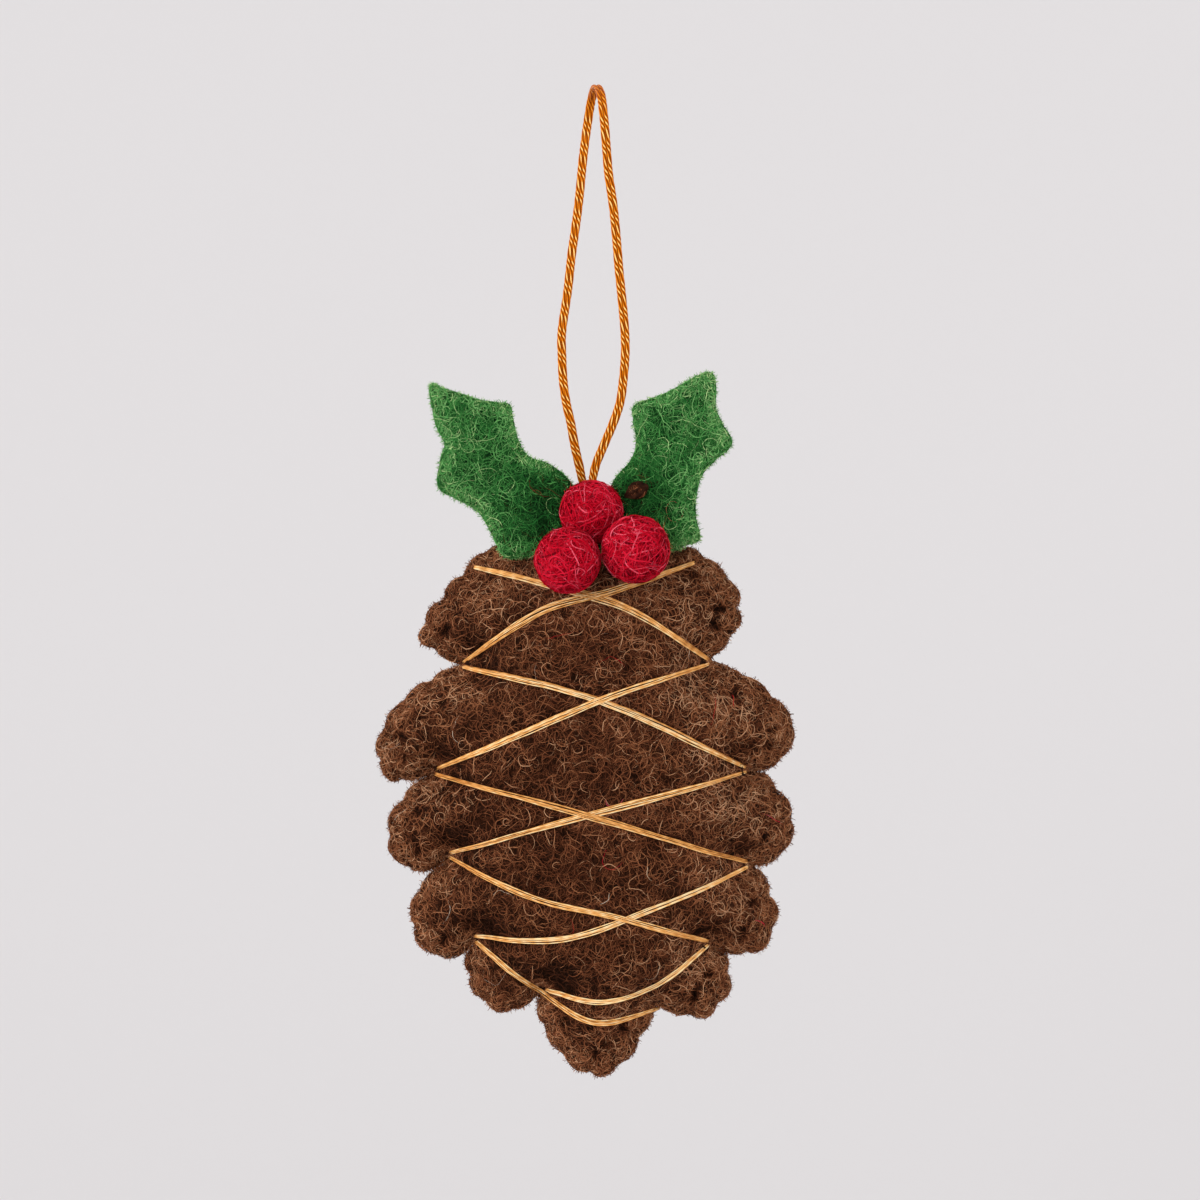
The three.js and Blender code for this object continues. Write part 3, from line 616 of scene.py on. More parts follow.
def noise_node(tree, scale, detail):
    """Noise in the object's own metres, so that it moves with the piece."""
    where = tree.nodes.new("ShaderNodeTexCoord")
    grain = tree.nodes.new("ShaderNodeTexNoise")
    grain.inputs["Scale"].default_value = scale
    grain.inputs["Detail"].default_value = detail
    tree.links.new(where.outputs["Object"], grain.inputs["Vector"])
    return grain


def felt_material(name, dark, mid, light):
    """Matted wool: mottled colour and a fine fibrous bump."""
    material, tree, shader = new_material(name, roughness=0.95, specular=0.05)
    ramp = ramp_node(tree, [(0.3, dark), (0.5, mid), (0.72, light)])
    tree.links.new(noise_node(tree, MOTTLE_SCALE, 6).outputs["Fac"], ramp.inputs["Fac"])
    tree.links.new(ramp.outputs["Color"], shader.inputs["Base Color"])
    bump = tree.nodes.new("ShaderNodeBump")
    bump.inputs["Strength"].default_value = BUMP_STRENGTH
    bump.inputs["Distance"].default_value = BUMP_DEPTH
    tree.links.new(noise_node(tree, BUMP_SCALE, 4).outputs["Fac"], bump.inputs["Height"])
    tree.links.new(bump.outputs["Normal"], shader.inputs["Normal"])
    return material


def fibre_material(name, stops, roughness=0.75, specular=0.12, shine=(255, 255, 255)):
    """Wool or thread fibres, each with its own place on a ramp of colours."""
    material, tree, shader = new_material(name, roughness, specular, shine)
    tone = tree.nodes.new("ShaderNodeAttribute")
    tone.attribute_name = "tone"
    ramp = ramp_node(tree, stops)
    tree.links.new(tone.outputs["Fac"], ramp.inputs["Fac"])
    tree.links.new(ramp.outputs["Color"], shader.inputs["Base Color"])
    return material


brown_felt = felt_material("brown_felt", (22, 10, 6), (42, 22, 13), (72, 42, 28))
green_felt = felt_material("green_felt", (4, 28, 10), (12, 50, 20), (28, 82, 36))
red_felt = felt_material("red_felt", (84, 0, 12), (140, 4, 26), (176, 14, 40))
fill_white = felt_material("fill_white", (214, 210, 202), (232, 228, 222), (246, 244, 240))
brown_wool = fibre_material("brown_wool", [
    (0.0, (22, 9, 5)), (0.35, (70, 36, 22)), (0.6, (116, 66, 42)), (0.85, (158, 102, 68)),
    (1.0, (194, 146, 110)),
], shine=(225, 165, 120))
green_wool = fibre_material("green_wool", [
    (0.0, (8, 40, 16)), (0.4, (34, 98, 42)), (0.7, (76, 144, 72)), (0.92, (124, 180, 108)),
    (1.0, (166, 200, 132)),
], shine=(190, 225, 140))
red_wool = fibre_material("red_wool", [
    (0.0, (100, 0, 12)), (0.35, (180, 3, 28)), (0.65, (204, 14, 42)), (0.88, (216, 42, 66)),
    (1.0, (232, 90, 110)),
], shine=(255, 140, 140))
stray_wool = fibre_material("stray_wool", [
    (0.0, (190, 160, 130)), (0.5, (214, 196, 176)), (0.8, (150, 100, 60)), (1.0, (236, 226, 214)),
])
thread_brown = fibre_material("thread_brown", [(0.0, (28, 15, 10)), (1.0, (52, 31, 22))])
floss_gold = fibre_material("floss_gold", [
    (0.0, (110, 58, 20)), (0.4, (204, 132, 62)), (0.75, (246, 184, 108)), (1.0, (255, 228, 176)),
], roughness=0.28, specular=0.6, shine=(255, 220, 160))
cord_orange = fibre_material("cord_orange", [
    (0.0, (96, 32, 0)), (0.4, (188, 86, 0)), (0.75, (232, 142, 28)), (1.0, (255, 220, 140)),
], roughness=0.35, specular=0.3, shine=(255, 180, 60))


# The camera and the studio
VIEW_WIDTH = 0.1875
VIEW_ACROSS = 0.00047
VIEW_HEIGHT = -0.0794
LENS = 120
SENSOR = 36
FLOOR_DROP = 0.75
FLOOR_RADIUS = 0.75
FLOOR_HOLE = 0.0005
FLOOR_SIDES = 96
COVE_STEPS = 12
WALL_RADIUS = 1.1
WALL_TOP = 1.3
WORLD_STRENGTH = 0.55
# The lamps' names, places, powers in watts and sizes
LAMPS = [
    ("left_lamp", (-1.3, -0.6, 0.35), 15, 0.9),
    ("right_lamp", (1.3, -0.65, 0.3), 9, 0.9),
    ("front_lamp", (-0.5, -1.3, 0.15), 5, 0.5),
]


def make_camera():
    camera = bpy.data.objects.new("camera", bpy.data.cameras.new("camera"))
    camera.data.lens = LENS
    camera.data.sensor_width = SENSOR
    camera.location = (VIEW_ACROSS, -VIEW_WIDTH * LENS / SENSOR, VIEW_HEIGHT)
    camera.rotation_euler = (math.pi / 2, 0, 0)
    bpy.context.scene.collection.objects.link(camera)
    bpy.context.scene.camera = camera
    bpy.context.scene.view_settings.view_transform = "Standard"


def make_lamp(name, place, power, size):
    """A large soft lamp that faces the ornament and doesn't show."""
    lamp = bpy.data.objects.new(name, bpy.data.lights.new(name, "AREA"))
    lamp.data.size = size
    lamp.data.energy = power
    lamp.location = place
    aim = Vector((VIEW_ACROSS, 0, VIEW_HEIGHT)) - lamp.location
    lamp.rotation_euler = aim.to_track_quat("-Z", "Y").to_euler()
    lamp.visible_camera = False
    bpy.context.scene.collection.objects.link(lamp)


def turned_mesh(name, profile, material):
    """A surface turned round the ornament's axis from (radius, height) points."""
    turn = np.linspace(0, 2 * np.pi, FLOOR_SIDES, endpoint=False)
    radius, height = np.array(profile).T
    points = np.stack([
        radius[:, None] * np.cos(turn), radius[:, None] * np.sin(turn), height[:, None] + 0 * turn,
    ], axis=-1)
    index = np.arange(len(profile) * FLOOR_SIDES).reshape(len(profile), FLOOR_SIDES)
    after = np.roll(index, -1, axis=1)
    faces = np.stack([index[:-1], index[1:], after[1:], after[:-1]], axis=-1)
    return new_mesh(name, points.reshape(-1, 3), faces.reshape(-1, 4), material, None)


def make_studio():
    """A pale round room with a floor. Its wall lets the world's light through to the ornament."""
    paper, _, shader = new_material("backdrop", roughness=1, specular=0)
    shader.inputs["Base Color"].default_value = linear(227, 224, 225)
    curve = WALL_RADIUS - FLOOR_RADIUS
    cove = [
        (FLOOR_RADIUS + curve * math.sin(bend), curve - FLOOR_DROP - curve * math.cos(bend))
        for bend in np.linspace(0, math.pi / 2, COVE_STEPS + 1)
    ]
    floor = turned_mesh("floor", [(FLOOR_HOLE, -FLOOR_DROP), (FLOOR_RADIUS, -FLOOR_DROP)], paper)
    wall = turned_mesh("wall", [*cove, (WALL_RADIUS, WALL_TOP)], paper)
    wall.visible_diffuse = False
    wall.visible_shadow = False
    world = bpy.data.worlds.new("world")
    bpy.context.scene.world = world
    world.use_nodes = True
    sky = world.node_tree.nodes["Background"]
    sky.inputs["Color"].default_value = (1, 1, 1, 1)
    sky.inputs["Strength"].default_value = WORLD_STRENGTH
    for lamp in LAMPS:
        make_lamp(*lamp)


make_camera()
make_studio()


# The cord
def ply_paths(centre, sideways, phase):
    """The plies of one strand: uneven left-handed screws round its centre line."""
    along = unit(np.gradient(centre, axis=0))
    side = square_to(along, sideways)
    over = np.cross(along, side)
    gone = gone_along(centre)
    plies = []
    for ply in range(PLIES):
        turn = phase + 2 * np.pi * (ply / PLIES - gone / PLY_LAY)
        turn += PLY_SWAY * np.sin(2 * np.pi * gone / PLY_SWAY_LENGTH + phase)
        plies.append(centre + (side * np.cos(turn)[:, None] + over * np.sin(turn)[:, None]) * PLY_ORBIT)
    return plies


def make_cord():
    """The loop: two twisted strands side by side over the bar and down to the foot."""
    route = spline(CORD_ROUTE, CORD_STEPS)
    side = square_to(unit(np.gradient(route, axis=0)), SIDEWAYS)
    full = np.clip(steps_from_end(len(route)) / CORD_END_STEPS, 0, 1)
    spread = CORD_STRAND_SPREAD * (1 - CORD_END_NARROWING_SHARE * (1 - full))
    plies, cores = [], []
    for strand in (-1, 1):
        centre = route + side * (strand * spread)[:, None]
        plies += ply_paths(centre, side, strand / 2)
        cores += [centre] * PLIES
    plies = np.stack(plies)
    lit_ways = unit(plies - np.stack(cores))
    tone = np.random.default_rng(1).uniform(*CORD_TONES, (len(plies), 1))
    # Painted light on each ply's outer crest, painted shade in the grooves towards the strand's middle,
    # and a painted highlight where a ply faces the front or the back
    cord = tube_mesh(
        "hanging_cord", plies, side, PLY_RADIUS, CORD_SIDES, cord_orange, None, tone, lit_ways,
        PLY_PAINTED_CREST + PLY_GLINT * lit_ways[..., 1] ** 8,
    )
    stands_for(cord, "orange_cord", "cord_top", "cord_leg_left", "cord_leg_right")
    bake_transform(cord)


def make_neck():
    """Where the loop's four strands run down together into the seam, to the knot that holds them."""
    drop = np.linspace(0, 1, NECK_STEPS)
    top, bottom = CORD_FOOT[2] + NECK_OVERLAP, SEAM_TOP[2] - KNOT_DROP
    orbit = NECK_ORBIT * (1 - NECK_WAIST_SHARE * np.sin(np.pi * drop))
    plies = []
    for strand in range(NECK_STRANDS):
        turn = 2 * np.pi * (strand / NECK_STRANDS + drop * NECK_TURNS)
        centre = np.stack([
            CORD_FOOT[0] + orbit * np.cos(turn), orbit * np.sin(turn), top + (bottom - top) * drop,
        ], axis=1)
        plies += ply_paths(centre, SIDEWAYS, strand)
    plies = np.stack(plies)
    tone = np.random.default_rng(2).uniform(*NECK_TONES, (len(plies), 1))
    neck = tube_mesh(
        "cord_neck", plies, SIDEWAYS, PLY_RADIUS, CORD_SIDES, cord_orange, "pinecone", tone,
    )
    around = np.linspace(0, 2 * np.pi, KNOT_STEPS + 1)
    knot = np.stack([
        np.sin(around) + 2 * np.sin(2 * around), np.cos(around) - 2 * np.cos(2 * around),
        -np.sin(3 * around),
    ], axis=1) * KNOT_SIZE / 6 + (CORD_FOOT[0], 0, bottom)
    tie = tube_mesh(
        "cord_tie_knot", knot[None], KNOT_UP, CORD_WIDTH / 3, CORD_SIDES, cord_orange, "pinecone",
        KNOT_TONE,
    )
    for piece in (neck, tie):
        stands_for(piece, "orange_cord", "cord_knot")


make_cord()
make_neck()


# The body's form
class Edge:
    """A closed outline with, at each point, its way out and its place along the stitches."""

    def __init__(self, line, outward, phase=None, stitches=()):
        self.line, self.outward, self.phase, self.stitches = line, outward, phase, stitches
        self.ends = np.roll(line, -1, axis=0)

    def distance(self, points):
        """How far inside the outline each point lies, below zero outside, and its nearest place."""
        away, nearest = distance_to_line(points, self.line, self.ends)
        return np.where(inside(points, self.line), away, -away), nearest


def outward_of(line):
    along = unit(np.gradient(line, axis=0))
    return np.stack([-along[:, 1], along[:, 0]], axis=1)


def body_edge():
    """The scalloped outline, lobe after lobe, with a stitch between each two scallops."""
    lines, outwards, phases, stitches = [], [], [], []
    root = LOBES[-1][1][-1]
    for count, shares in LOBES:
        line = spline(np.array([root, *shares]) * (BODY_WIDTH, -BODY_HEIGHT), count * EDGE_STEPS)
        root = shares[-1]
        outward = outward_of(line)
        phase = np.arange(len(line)) / EDGE_STEPS
        near_notch = np.clip(np.minimum(phase, count - phase), 0, 1)
        bump = SCALLOP * near_notch * (np.abs(np.sin(np.pi * phase)) - SCALLOP_MEAN_SHARE)
        bump = bump * (1 + SCALLOP_SPREAD_SHARE * cloud(line, SCALLOP_LUMP, 6))
        line = line + outward * (bump - FUZZ)[:, None]
        for i in range(1, count):
            spot = i * EDGE_STEPS
            stitches.append((line[spot], outward[spot]))
        lines.append(line[:-1])
        outwards.append(outward[:-1])
        phases.append(phase[:-1])
    return Edge(np.vstack(lines), np.vstack(outwards), np.concatenate(phases), stitches)


edge = body_edge()
stitch_spots, stitch_ways = (np.array(side) for side in zip(*edge.stitches))
hole_starts = stitch_spots - stitch_ways * (STITCH_INSET - HOLE_LENGTH / 2)
hole_ends = stitch_spots - stitch_ways * (STITCH_INSET + HOLE_LENGTH / 2)
hole_pulls = np.random.default_rng(5).uniform(0, 1, len(hole_starts)) ** 2 * HOLE_DEPTH
grid_low, grid_shape, grid_points = grid_over(edge.line)
grid_distance, grid_nearest = edge.distance(grid_points)
edge_field = Field(grid_low, grid_distance.reshape(grid_shape))


def dome_field():
    """A stretched skin that is held down outside the stitches and pushed up inside them."""
    held = edge_field.values < DOME_START
    push = (GRID_STEP / DOME_REACH) ** 2
    height = np.zeros(grid_shape)
    for _ in range(DOME_ROUNDS):
        around = np.zeros(grid_shape)
        around[1:-1, 1:-1] = (
            height[:-2, 1:-1] + height[2:, 1:-1] + height[1:-1, :-2] + height[1:-1, 2:] + push
        )
        height = np.where(held, 0, around / (4 + push))
    return Field(grid_low, (height / height.max()) ** DOME_POWER)


dome = dome_field()


def floss_runs(starts_left):
    """One thread's runs from notch to notch, as lines in the body's plane, from the top down."""
    sides = [LEFT_TURNS, RIGHT_TURNS]
    runs = []
    for level in range(len(LEFT_RUN_BOWS)):
        from_left = (level % 2 == 0) == starts_left
        from_side, to_side = sides if from_left else sides[::-1]
        early, late = (LEFT_RUN_BOWS if from_left else RIGHT_RUN_BOWS)[level]
        last = level == len(LEFT_RUN_BOWS) - 1
        start = np.array(from_side[level]) * (BODY_WIDTH, -BODY_HEIGHT)
        end = np.array(to_side[level + 1]) * (BODY_WIDTH, -BODY_HEIGHT)
        start[1] -= 0 if level == 0 else TURN_GAP / 2
        end[1] += 0 if last else TURN_GAP / 2
        third = start + (end - start) / 3 + (0, early)
        two_thirds = start + (end - start) * 2 / 3 + (0, late)
        runs.append(spline([start, third, two_thirds, end], RUN_STEPS))
    return runs


floss_a, floss_b = floss_runs(True), floss_runs(False)
floss_starts = np.vstack([run[:-1] for run in floss_a + floss_b])
floss_ends = np.vstack([run[1:] for run in floss_a + floss_b])
floss_turns = np.array([run[i] for run in floss_a + floss_b for i in (0, -1)])


def hole_depth(points):
    """How far the stitches pull the felt in where they go through it."""
    to_hole, nearest_hole = distance_to_line(points, hole_starts, hole_ends)
    pull = hole_pulls[np.minimum(nearest_hole.astype(int), len(hole_pulls) - 1)]
    return pull * bell(to_hole, HOLE_REACH)


def felt_depth(points, distance, nearest, seed):
    """How far the felt's outside stands from the seam's plane."""
    phase = edge.phase[nearest.astype(int) % len(edge.phase)] + np.modf(nearest)[0] / EDGE_STEPS
    rounding = rounded(distance, EDGE_ROUNDING)
    rim = SEAM_GAP / 2 + FELT_THICKNESS * (RIM_SHARE + (1 - RIM_SHARE) * rounding)
    puff = PUFF * np.abs(np.sin(np.pi * phase)) * bell(distance - PUFF_INSET, PUFF_REACH)
    valley = VALLEY * bell(distance - STITCH_INSET, VALLEY_REACH)
    to_turn = np.sqrt(((points[:, None] - floss_turns) ** 2).sum(2)).min(1)
    drawn_in = 1 - DRAWN_IN_SHARE * bell(to_turn, DRAWN_IN_REACH)
    to_floss, _ = distance_to_line(points, floss_starts, floss_ends)
    pressed = FLOSS_PRESS * bell(to_floss, FLOSS_PRESS_REACH)
    pressed += FLOSS_SINK * bell(to_floss, FLOSS_SINK_REACH)
    rise = (HALF_DEPTH - SEAM_GAP / 2 - FELT_THICKNESS) * dome.at(points) * drawn_in
    lumps = LUMP * cloud(points, LUMP_SIZE, seed) + FINE_LUMP * cloud(points, FINE_LUMP_SIZE, seed + 1)
    middle = (lumps - pressed) * smooth(distance, LUMPS_START, LUMPS_FULL)
    depth = rim + puff - valley - hole_depth(points) + rise + middle
    return np.maximum(depth, SEAM_GAP / 2 + THINNEST * rounding)


def plate_triangles(outline, rows, spacing):
    """Points that cover an outline evenly, with closer rows along its edge, and their triangles."""
    kept = [outline.line]
    for inset in rows:
        row = outline.line - outline.outward * inset
        kept.append(row[outline.distance(row)[0] > inset * ROW_ROOM_SHARE])
    low, high = outline.line.min(0), outline.line.max(0)
    across = np.arange(low[0], high[0], spacing)
    up = np.arange(low[1], high[1], spacing * math.sqrt(3) / 2)
    grid = np.stack(np.meshgrid(across, up), axis=-1)
    grid[1::2, :, 0] += spacing / 2
    grid = grid.reshape(-1, 2)
    kept.append(grid[outline.distance(grid)[0] > rows[-1] + spacing * MIDDLE_ROOM_SHARE])
    loop = list(range(len(outline.line)))
    spots = [tuple(point) for point in np.vstack(kept)]
    made = delaunay_2d_cdt(spots, [], [loop], 1, MERGE_GAP)
    return np.array([tuple(point) for point in made[0]]), np.array(made[2])


def plate_mesh(name, flat, triangles, front, back, material, body):
    """A closed plate between a front and a back skin over the same triangles."""
    a, b, c = (flat[triangles[:, i]] for i in range(3))
    turn = (b[:, 0] - a[:, 0]) * (c[:, 1] - a[:, 1]) - (b[:, 1] - a[:, 1]) * (c[:, 0] - a[:, 0])
    triangles = np.where((turn > 0)[:, None], triangles, triangles[:, ::-1])
    steps = np.vstack([triangles[:, [0, 1]], triangles[:, [1, 2]], triangles[:, [2, 0]]])
    count = len(flat)
    keys = steps[:, 0] * count + steps[:, 1]
    paired = np.isin(keys, steps[:, 1] * count + steps[:, 0])
    rim = steps[~paired]
    wall = np.vstack([
        np.stack([rim[:, 1], rim[:, 0], rim[:, 0] + count], axis=1),
        np.stack([rim[:, 1], rim[:, 0] + count, rim[:, 1] + count], axis=1),
    ])
    faces = np.vstack([triangles, triangles[:, ::-1] + count, wall])
    return new_mesh(name, np.vstack([front, back]), faces, material, body)


def in_body(points, depth, side):
    """Points of the body's plane, at a depth to the front (side -1) or the back (side 1)."""
    x, z = points[..., 0] + SEAM_TOP[0], points[..., 1] + SEAM_TOP[2]
    return np.stack([x, side * depth, z], axis=-1)


flat_points, flat_triangles = plate_triangles(edge, BODY_ROWS, BODY_SPACING)
flat_distance, flat_nearest = edge.distance(flat_points)
FACES = {"front": -1, "back": 1}
depth_fields = {}
for face, side in FACES.items():
    depth = felt_depth(flat_points, flat_distance, flat_nearest, 10 + side)
    outside = in_body(flat_points, depth, side)
    within = in_body(flat_points, np.maximum(depth - FELT_THICKNESS, SEAM_GAP / 8), side)
    skins = (outside, within) if side < 0 else (within, outside)
    panel = plate_mesh(f"{face}_felt", flat_points, flat_triangles, *skins, brown_felt, "pinecone")
    stands_for(panel, "brown_felt", f"{face}_panel")
    values = felt_depth(grid_points, grid_distance, grid_nearest, 10 + side)
    depth_fields[face] = Field(grid_low, values.reshape(grid_shape))


def make_stuffing():
    """The filling inside the two panels, just clear of their inner faces."""
    core = (flat_distance[flat_triangles] > FILL_INSET).all(1)
    used, triangles = np.unique(flat_triangles[core], return_inverse=True)
    spots = flat_points[used]
    skins = []
    for face, side in FACES.items():
        depth = depth_fields[face].at(spots) - FELT_THICKNESS - FILL_GAP
        skins.append(in_body(spots, np.maximum(depth, FILL_GAP / 2), side))
    fill = plate_mesh("stuffing_fill", spots, triangles.reshape(-1, 3), *skins, fill_white, "pinecone")
    stands_for(fill, "white_fill", "stuffing")


def make_seam():
    """A whip stitch over the edge at each hole, sunk into the felt."""
    insets = np.linspace(STITCH_INSET, 0, STITCH_STEPS + 1)
    paths = []
    for place, outward in edge.stitches:
        spots = place - outward * insets[:, None]
        front, back = (
            in_body(spots, depth_fields[face].at(spots) - STITCH_SUNK, side)
            for face, side in FACES.items()
        )
        rim = in_body(place + outward * STITCH_SUNK / 2, 0.0, 1)
        paths.append(np.vstack([front, rim, back[::-1]]))
    tone = np.random.default_rng(3).uniform(0, 1, (len(paths), 1))
    seam = tube_mesh(
        "seam_stitches", np.stack(paths), SEAM_THREAD_UP, SEAM_THREAD_RADIUS, SEAM_THREAD_SIDES,
        thread_brown, "pinecone", tone,
    )
    stands_for(seam, "brown_thread", "seam_thread")


make_stuffing()
make_seam()


# The lacing
def crossing_lift(run, other):
    """How far a run rises where it goes over another one."""
    apart = np.linalg.norm(run[:, None] - other, axis=2)
    crossing = run[apart.min(1).argmin()]
    return CROSSING_LIFT * bell(np.linalg.norm(run - crossing, axis=1), CROSSING_REACH)


def strand_paths(run, lift, face, rng, full_width):
    """The flat row of strands of one run over one face, from edge to edge."""
    steps = np.arange(1, TURN_STEPS + 1)[:, None] / TURN_STEPS * TURN_REACH
    before, after = unit(run[0] - run[3]), unit(run[-1] - run[-4])
    line = np.vstack([(run[0] + before * steps)[::-1], run, run[-1] + after * steps])
    lift = np.pad(lift, TURN_STEPS)
    across = outward_of(line)
    share = np.linspace(0, 1, len(line))
    beyond = np.clip(1 - steps_from_end(len(line)) / TURN_STEPS, 0, 1)
    full = smooth(np.minimum(share, 1 - share), *FLOSS_TAPER_SHARES)
    width = FLOSS_END_WIDTH + (full_width - FLOSS_END_WIDTH) * full
    paths = []
    for strand in range(FLOSS_STRANDS):
        place = (strand + rng.uniform(*STRAND_PLACE_SHARES)) / FLOSS_STRANDS - 0.5
        for size, rounds in STRAND_SWAY_SHARES:
            wave = share * rng.uniform(*rounds) + rng.uniform()
            place = place + size * np.sin(2 * np.pi * wave)
        spots = line + across * (width * place)[:, None]
        stand = FLOSS_STAND + lift + rng.uniform(-STRAND_RADIUS, STRAND_RADIUS)
        depth = depth_fields[face].at(spots) + stand
        paths.append(in_body(spots, depth * np.sqrt(1 - beyond**2), FACES[face]))
    return paths


def make_lacing(face, thread, runs, others):
    """One thread of floss over one face, which goes over the other thread or under it in turn."""
    rng = np.random.default_rng(len(face) + ord(thread))
    paths = []
    for level, run in enumerate(runs):
        over = (level in LEVELS_A_OVER_B) == (thread == "a")
        lift = crossing_lift(run, others[level]) * over
        width = FLOSS_WIDTH * (1 - FLOSS_NARROWING_SHARE * level)
        paths += strand_paths(run, lift, face, rng, width)
    gone = np.stack([gone_along(path) for path in paths])
    # Painted highlights that come and go along each strand, one in each twist's length
    twist_glint = np.sin(2 * np.pi * (gone / STRAND_TWIST + rng.uniform(0, 1, (len(paths), 1))))
    tone = rng.uniform(*FLOSS_TONES, (len(paths), 1)) + FLOSS_PAINTED_GLINT * twist_glint
    # Painted light on the strands' outer side away from the felt and painted shade under them
    lacing = tube_mesh(
        f"floss_{face}_{thread}", np.stack(paths), (0, 1.0, 0), STRAND_RADIUS, FLOSS_SIDES, floss_gold,
        "pinecone", tone, (0, FACES[face], 0), STRAND_PAINTED_CREST,
    )
    stands_for(lacing, "gold_floss", f"lacing_{face}_{thread}")


for face in FACES:
    make_lacing(face, "a", floss_a, floss_b)
    make_lacing(face, "b", floss_b, floss_a)


# Loose wool on the felt
class Plate:
    """A felt face as a height over its own plane, which keeps loose fibres on itself."""

    def __init__(self, distance, depth, to_world, painted_shade_and_light, freedom=None):
        self.distance, self.depth, self.to_world, self.freedom = distance, depth, to_world, freedom
        self.steepness, self.inward = depth.slope(), distance.slope()
        # Painted shade where the felt lies below its blurred neighbourhood, away from the edge, plus the
        # painted shade and light handed in
        painted_shading = (blurred(depth.values) - depth.values) * smooth(distance.values, *PAINTED_CREASE_SHADE_INSETS)
        self.painted_shading = Field(depth.low, painted_shading + painted_shade_and_light)

    def settle(self, points, room):
        """The nearest places on the face, no further past its edge than room, and their normals."""
        flat = points[:, :2]
        over = np.maximum(-self.distance.at(flat) - room, 0)
        flat = flat + self.inward.at(flat) * over[:, None]
        normal = unit(np.column_stack([-self.steepness.at(flat), np.ones(len(flat))]))
        return np.column_stack([flat, self.depth.at(flat)]), normal

    def scatter(self, rng, count, low=0.0, high=1.0):
        """Evenly spread random places between two distances from the edge."""
        size = (np.array(self.depth.values.shape) - 1) * GRID_STEP
        found = np.empty((0, 2))
        while len(found) < count:
            tries = self.depth.low + rng.uniform(0, 1, (count, 2)) * size
            away = self.distance.at(tries)
            found = np.vstack([found, tries[(away > low) & (away < high)]])
        return np.column_stack([found[:count], np.zeros(count)])

    def shade(self, points):
        """The painted shade at each point, in metres of crease depth; painted light below zero."""
        return self.painted_shading.at(points[..., :2])

    def lift(self, points):
        """How freely a fibre rises at each point: not at all under the floss."""
        return self.freedom.at(points[..., :2]) if self.freedom else 1


class Ball:
    """A round surface that keeps loose fibres on itself."""

    def __init__(self, centre, radii):
        self.centre, self.radii = np.asarray(centre), np.asarray(radii)

    def settle(self, points, room):
        out = unit(points / self.radii)
        return out * self.radii, unit(out / self.radii)

    def scatter(self, rng, count):
        return rng.normal(size=(count, 3)) * self.radii

    def shade(self, points):
        return np.zeros(points.shape[:-1])

    def lift(self, points):
        return 1

    def to_world(self, points):
        return points + self.centre


def blurred(values):
    """The values, each taken as the mean of its wider neighbourhood."""
    wide = 2 * BLUR_CELLS
    for axis in (0, 0, 1, 1):
        margins = [(BLUR_CELLS, BLUR_CELLS) if i == axis else (0, 0) for i in (0, 1)]
        total = np.cumsum(np.pad(values, margins, mode="edge"), axis=axis)
        low = np.arange(values.shape[axis])
        values = (np.take(total, wide + low, axis) - np.take(total, low, axis)) / wide
    return values


def fibre_edges(path, normals, kind, rng):
    """The two edges of a ribbon along each path, rolled a little about it and thin at its ends."""
    size = (len(path), 1)
    share = np.linspace(0, 1, kind["steps"] + 1)
    along = unit(np.gradient(path, axis=1))
    side = unit(np.cross(along, normals))
    over = np.cross(side, along)
    roll = rng.uniform(-1, 1, size) + rng.uniform(-1, 1, size) * share
    flat = side * np.cos(roll)[..., None] + over * np.sin(roll)[..., None]
    half = kind["width"] / 2 * rng.uniform(*FIBRE_WIDTH_SHARES, size)
    half = half * (1 - FIBRE_TIP_SHARE * np.abs(2 * share - 1) ** 4)
    return np.stack([path - flat * half[..., None], path + flat * half[..., None]], axis=2)


def lay_tufts(name, outline, depth, to_world, kind, count, material, body, seed):
    """Short fibres that stand out all round an edge, from between the plate's two faces."""
    rng = np.random.default_rng(seed)
    at = rng.integers(0, len(outline.line), count)
    foot = outline.line[at] + (outline.ends[at] - outline.line[at]) * rng.uniform(0, 1, (count, 1))
    foot = foot - outline.outward[at] * rng.uniform(0, kind["room"], (count, 1))
    out = np.column_stack([outline.outward[at], np.zeros(count)])
    heading = unit(out + kind["wander"] * rng.normal(size=(count, 3)))
    axis = unit(rng.normal(size=(count, 3)))
    steps = kind["steps"]
    step = (kind["length"] * rng.uniform(0.3, 1, count) / steps)[:, None]
    bend = rng.uniform(-TUFT_BEND, TUFT_BEND, (count, 1)) * step / kind["curl"]
    path = [np.column_stack([foot, depth.at(foot) * rng.uniform(-1, 1, count)])]
    for _ in range(steps):
        heading = unit(heading + np.cross(axis, heading) * bend)
        path.append(path[-1] + heading * step)
    path = np.stack(path, axis=1)
    points = fibre_edges(path, np.broadcast_to(axis[:, None], path.shape), kind, rng)
    tone = rng.normal(kind["tone"], kind["spread"], (count, 1)) + np.zeros(steps + 1)
    lay_ribbons(name, to_world(points.reshape(-1, 3)).reshape(points.shape), tone, material, body)


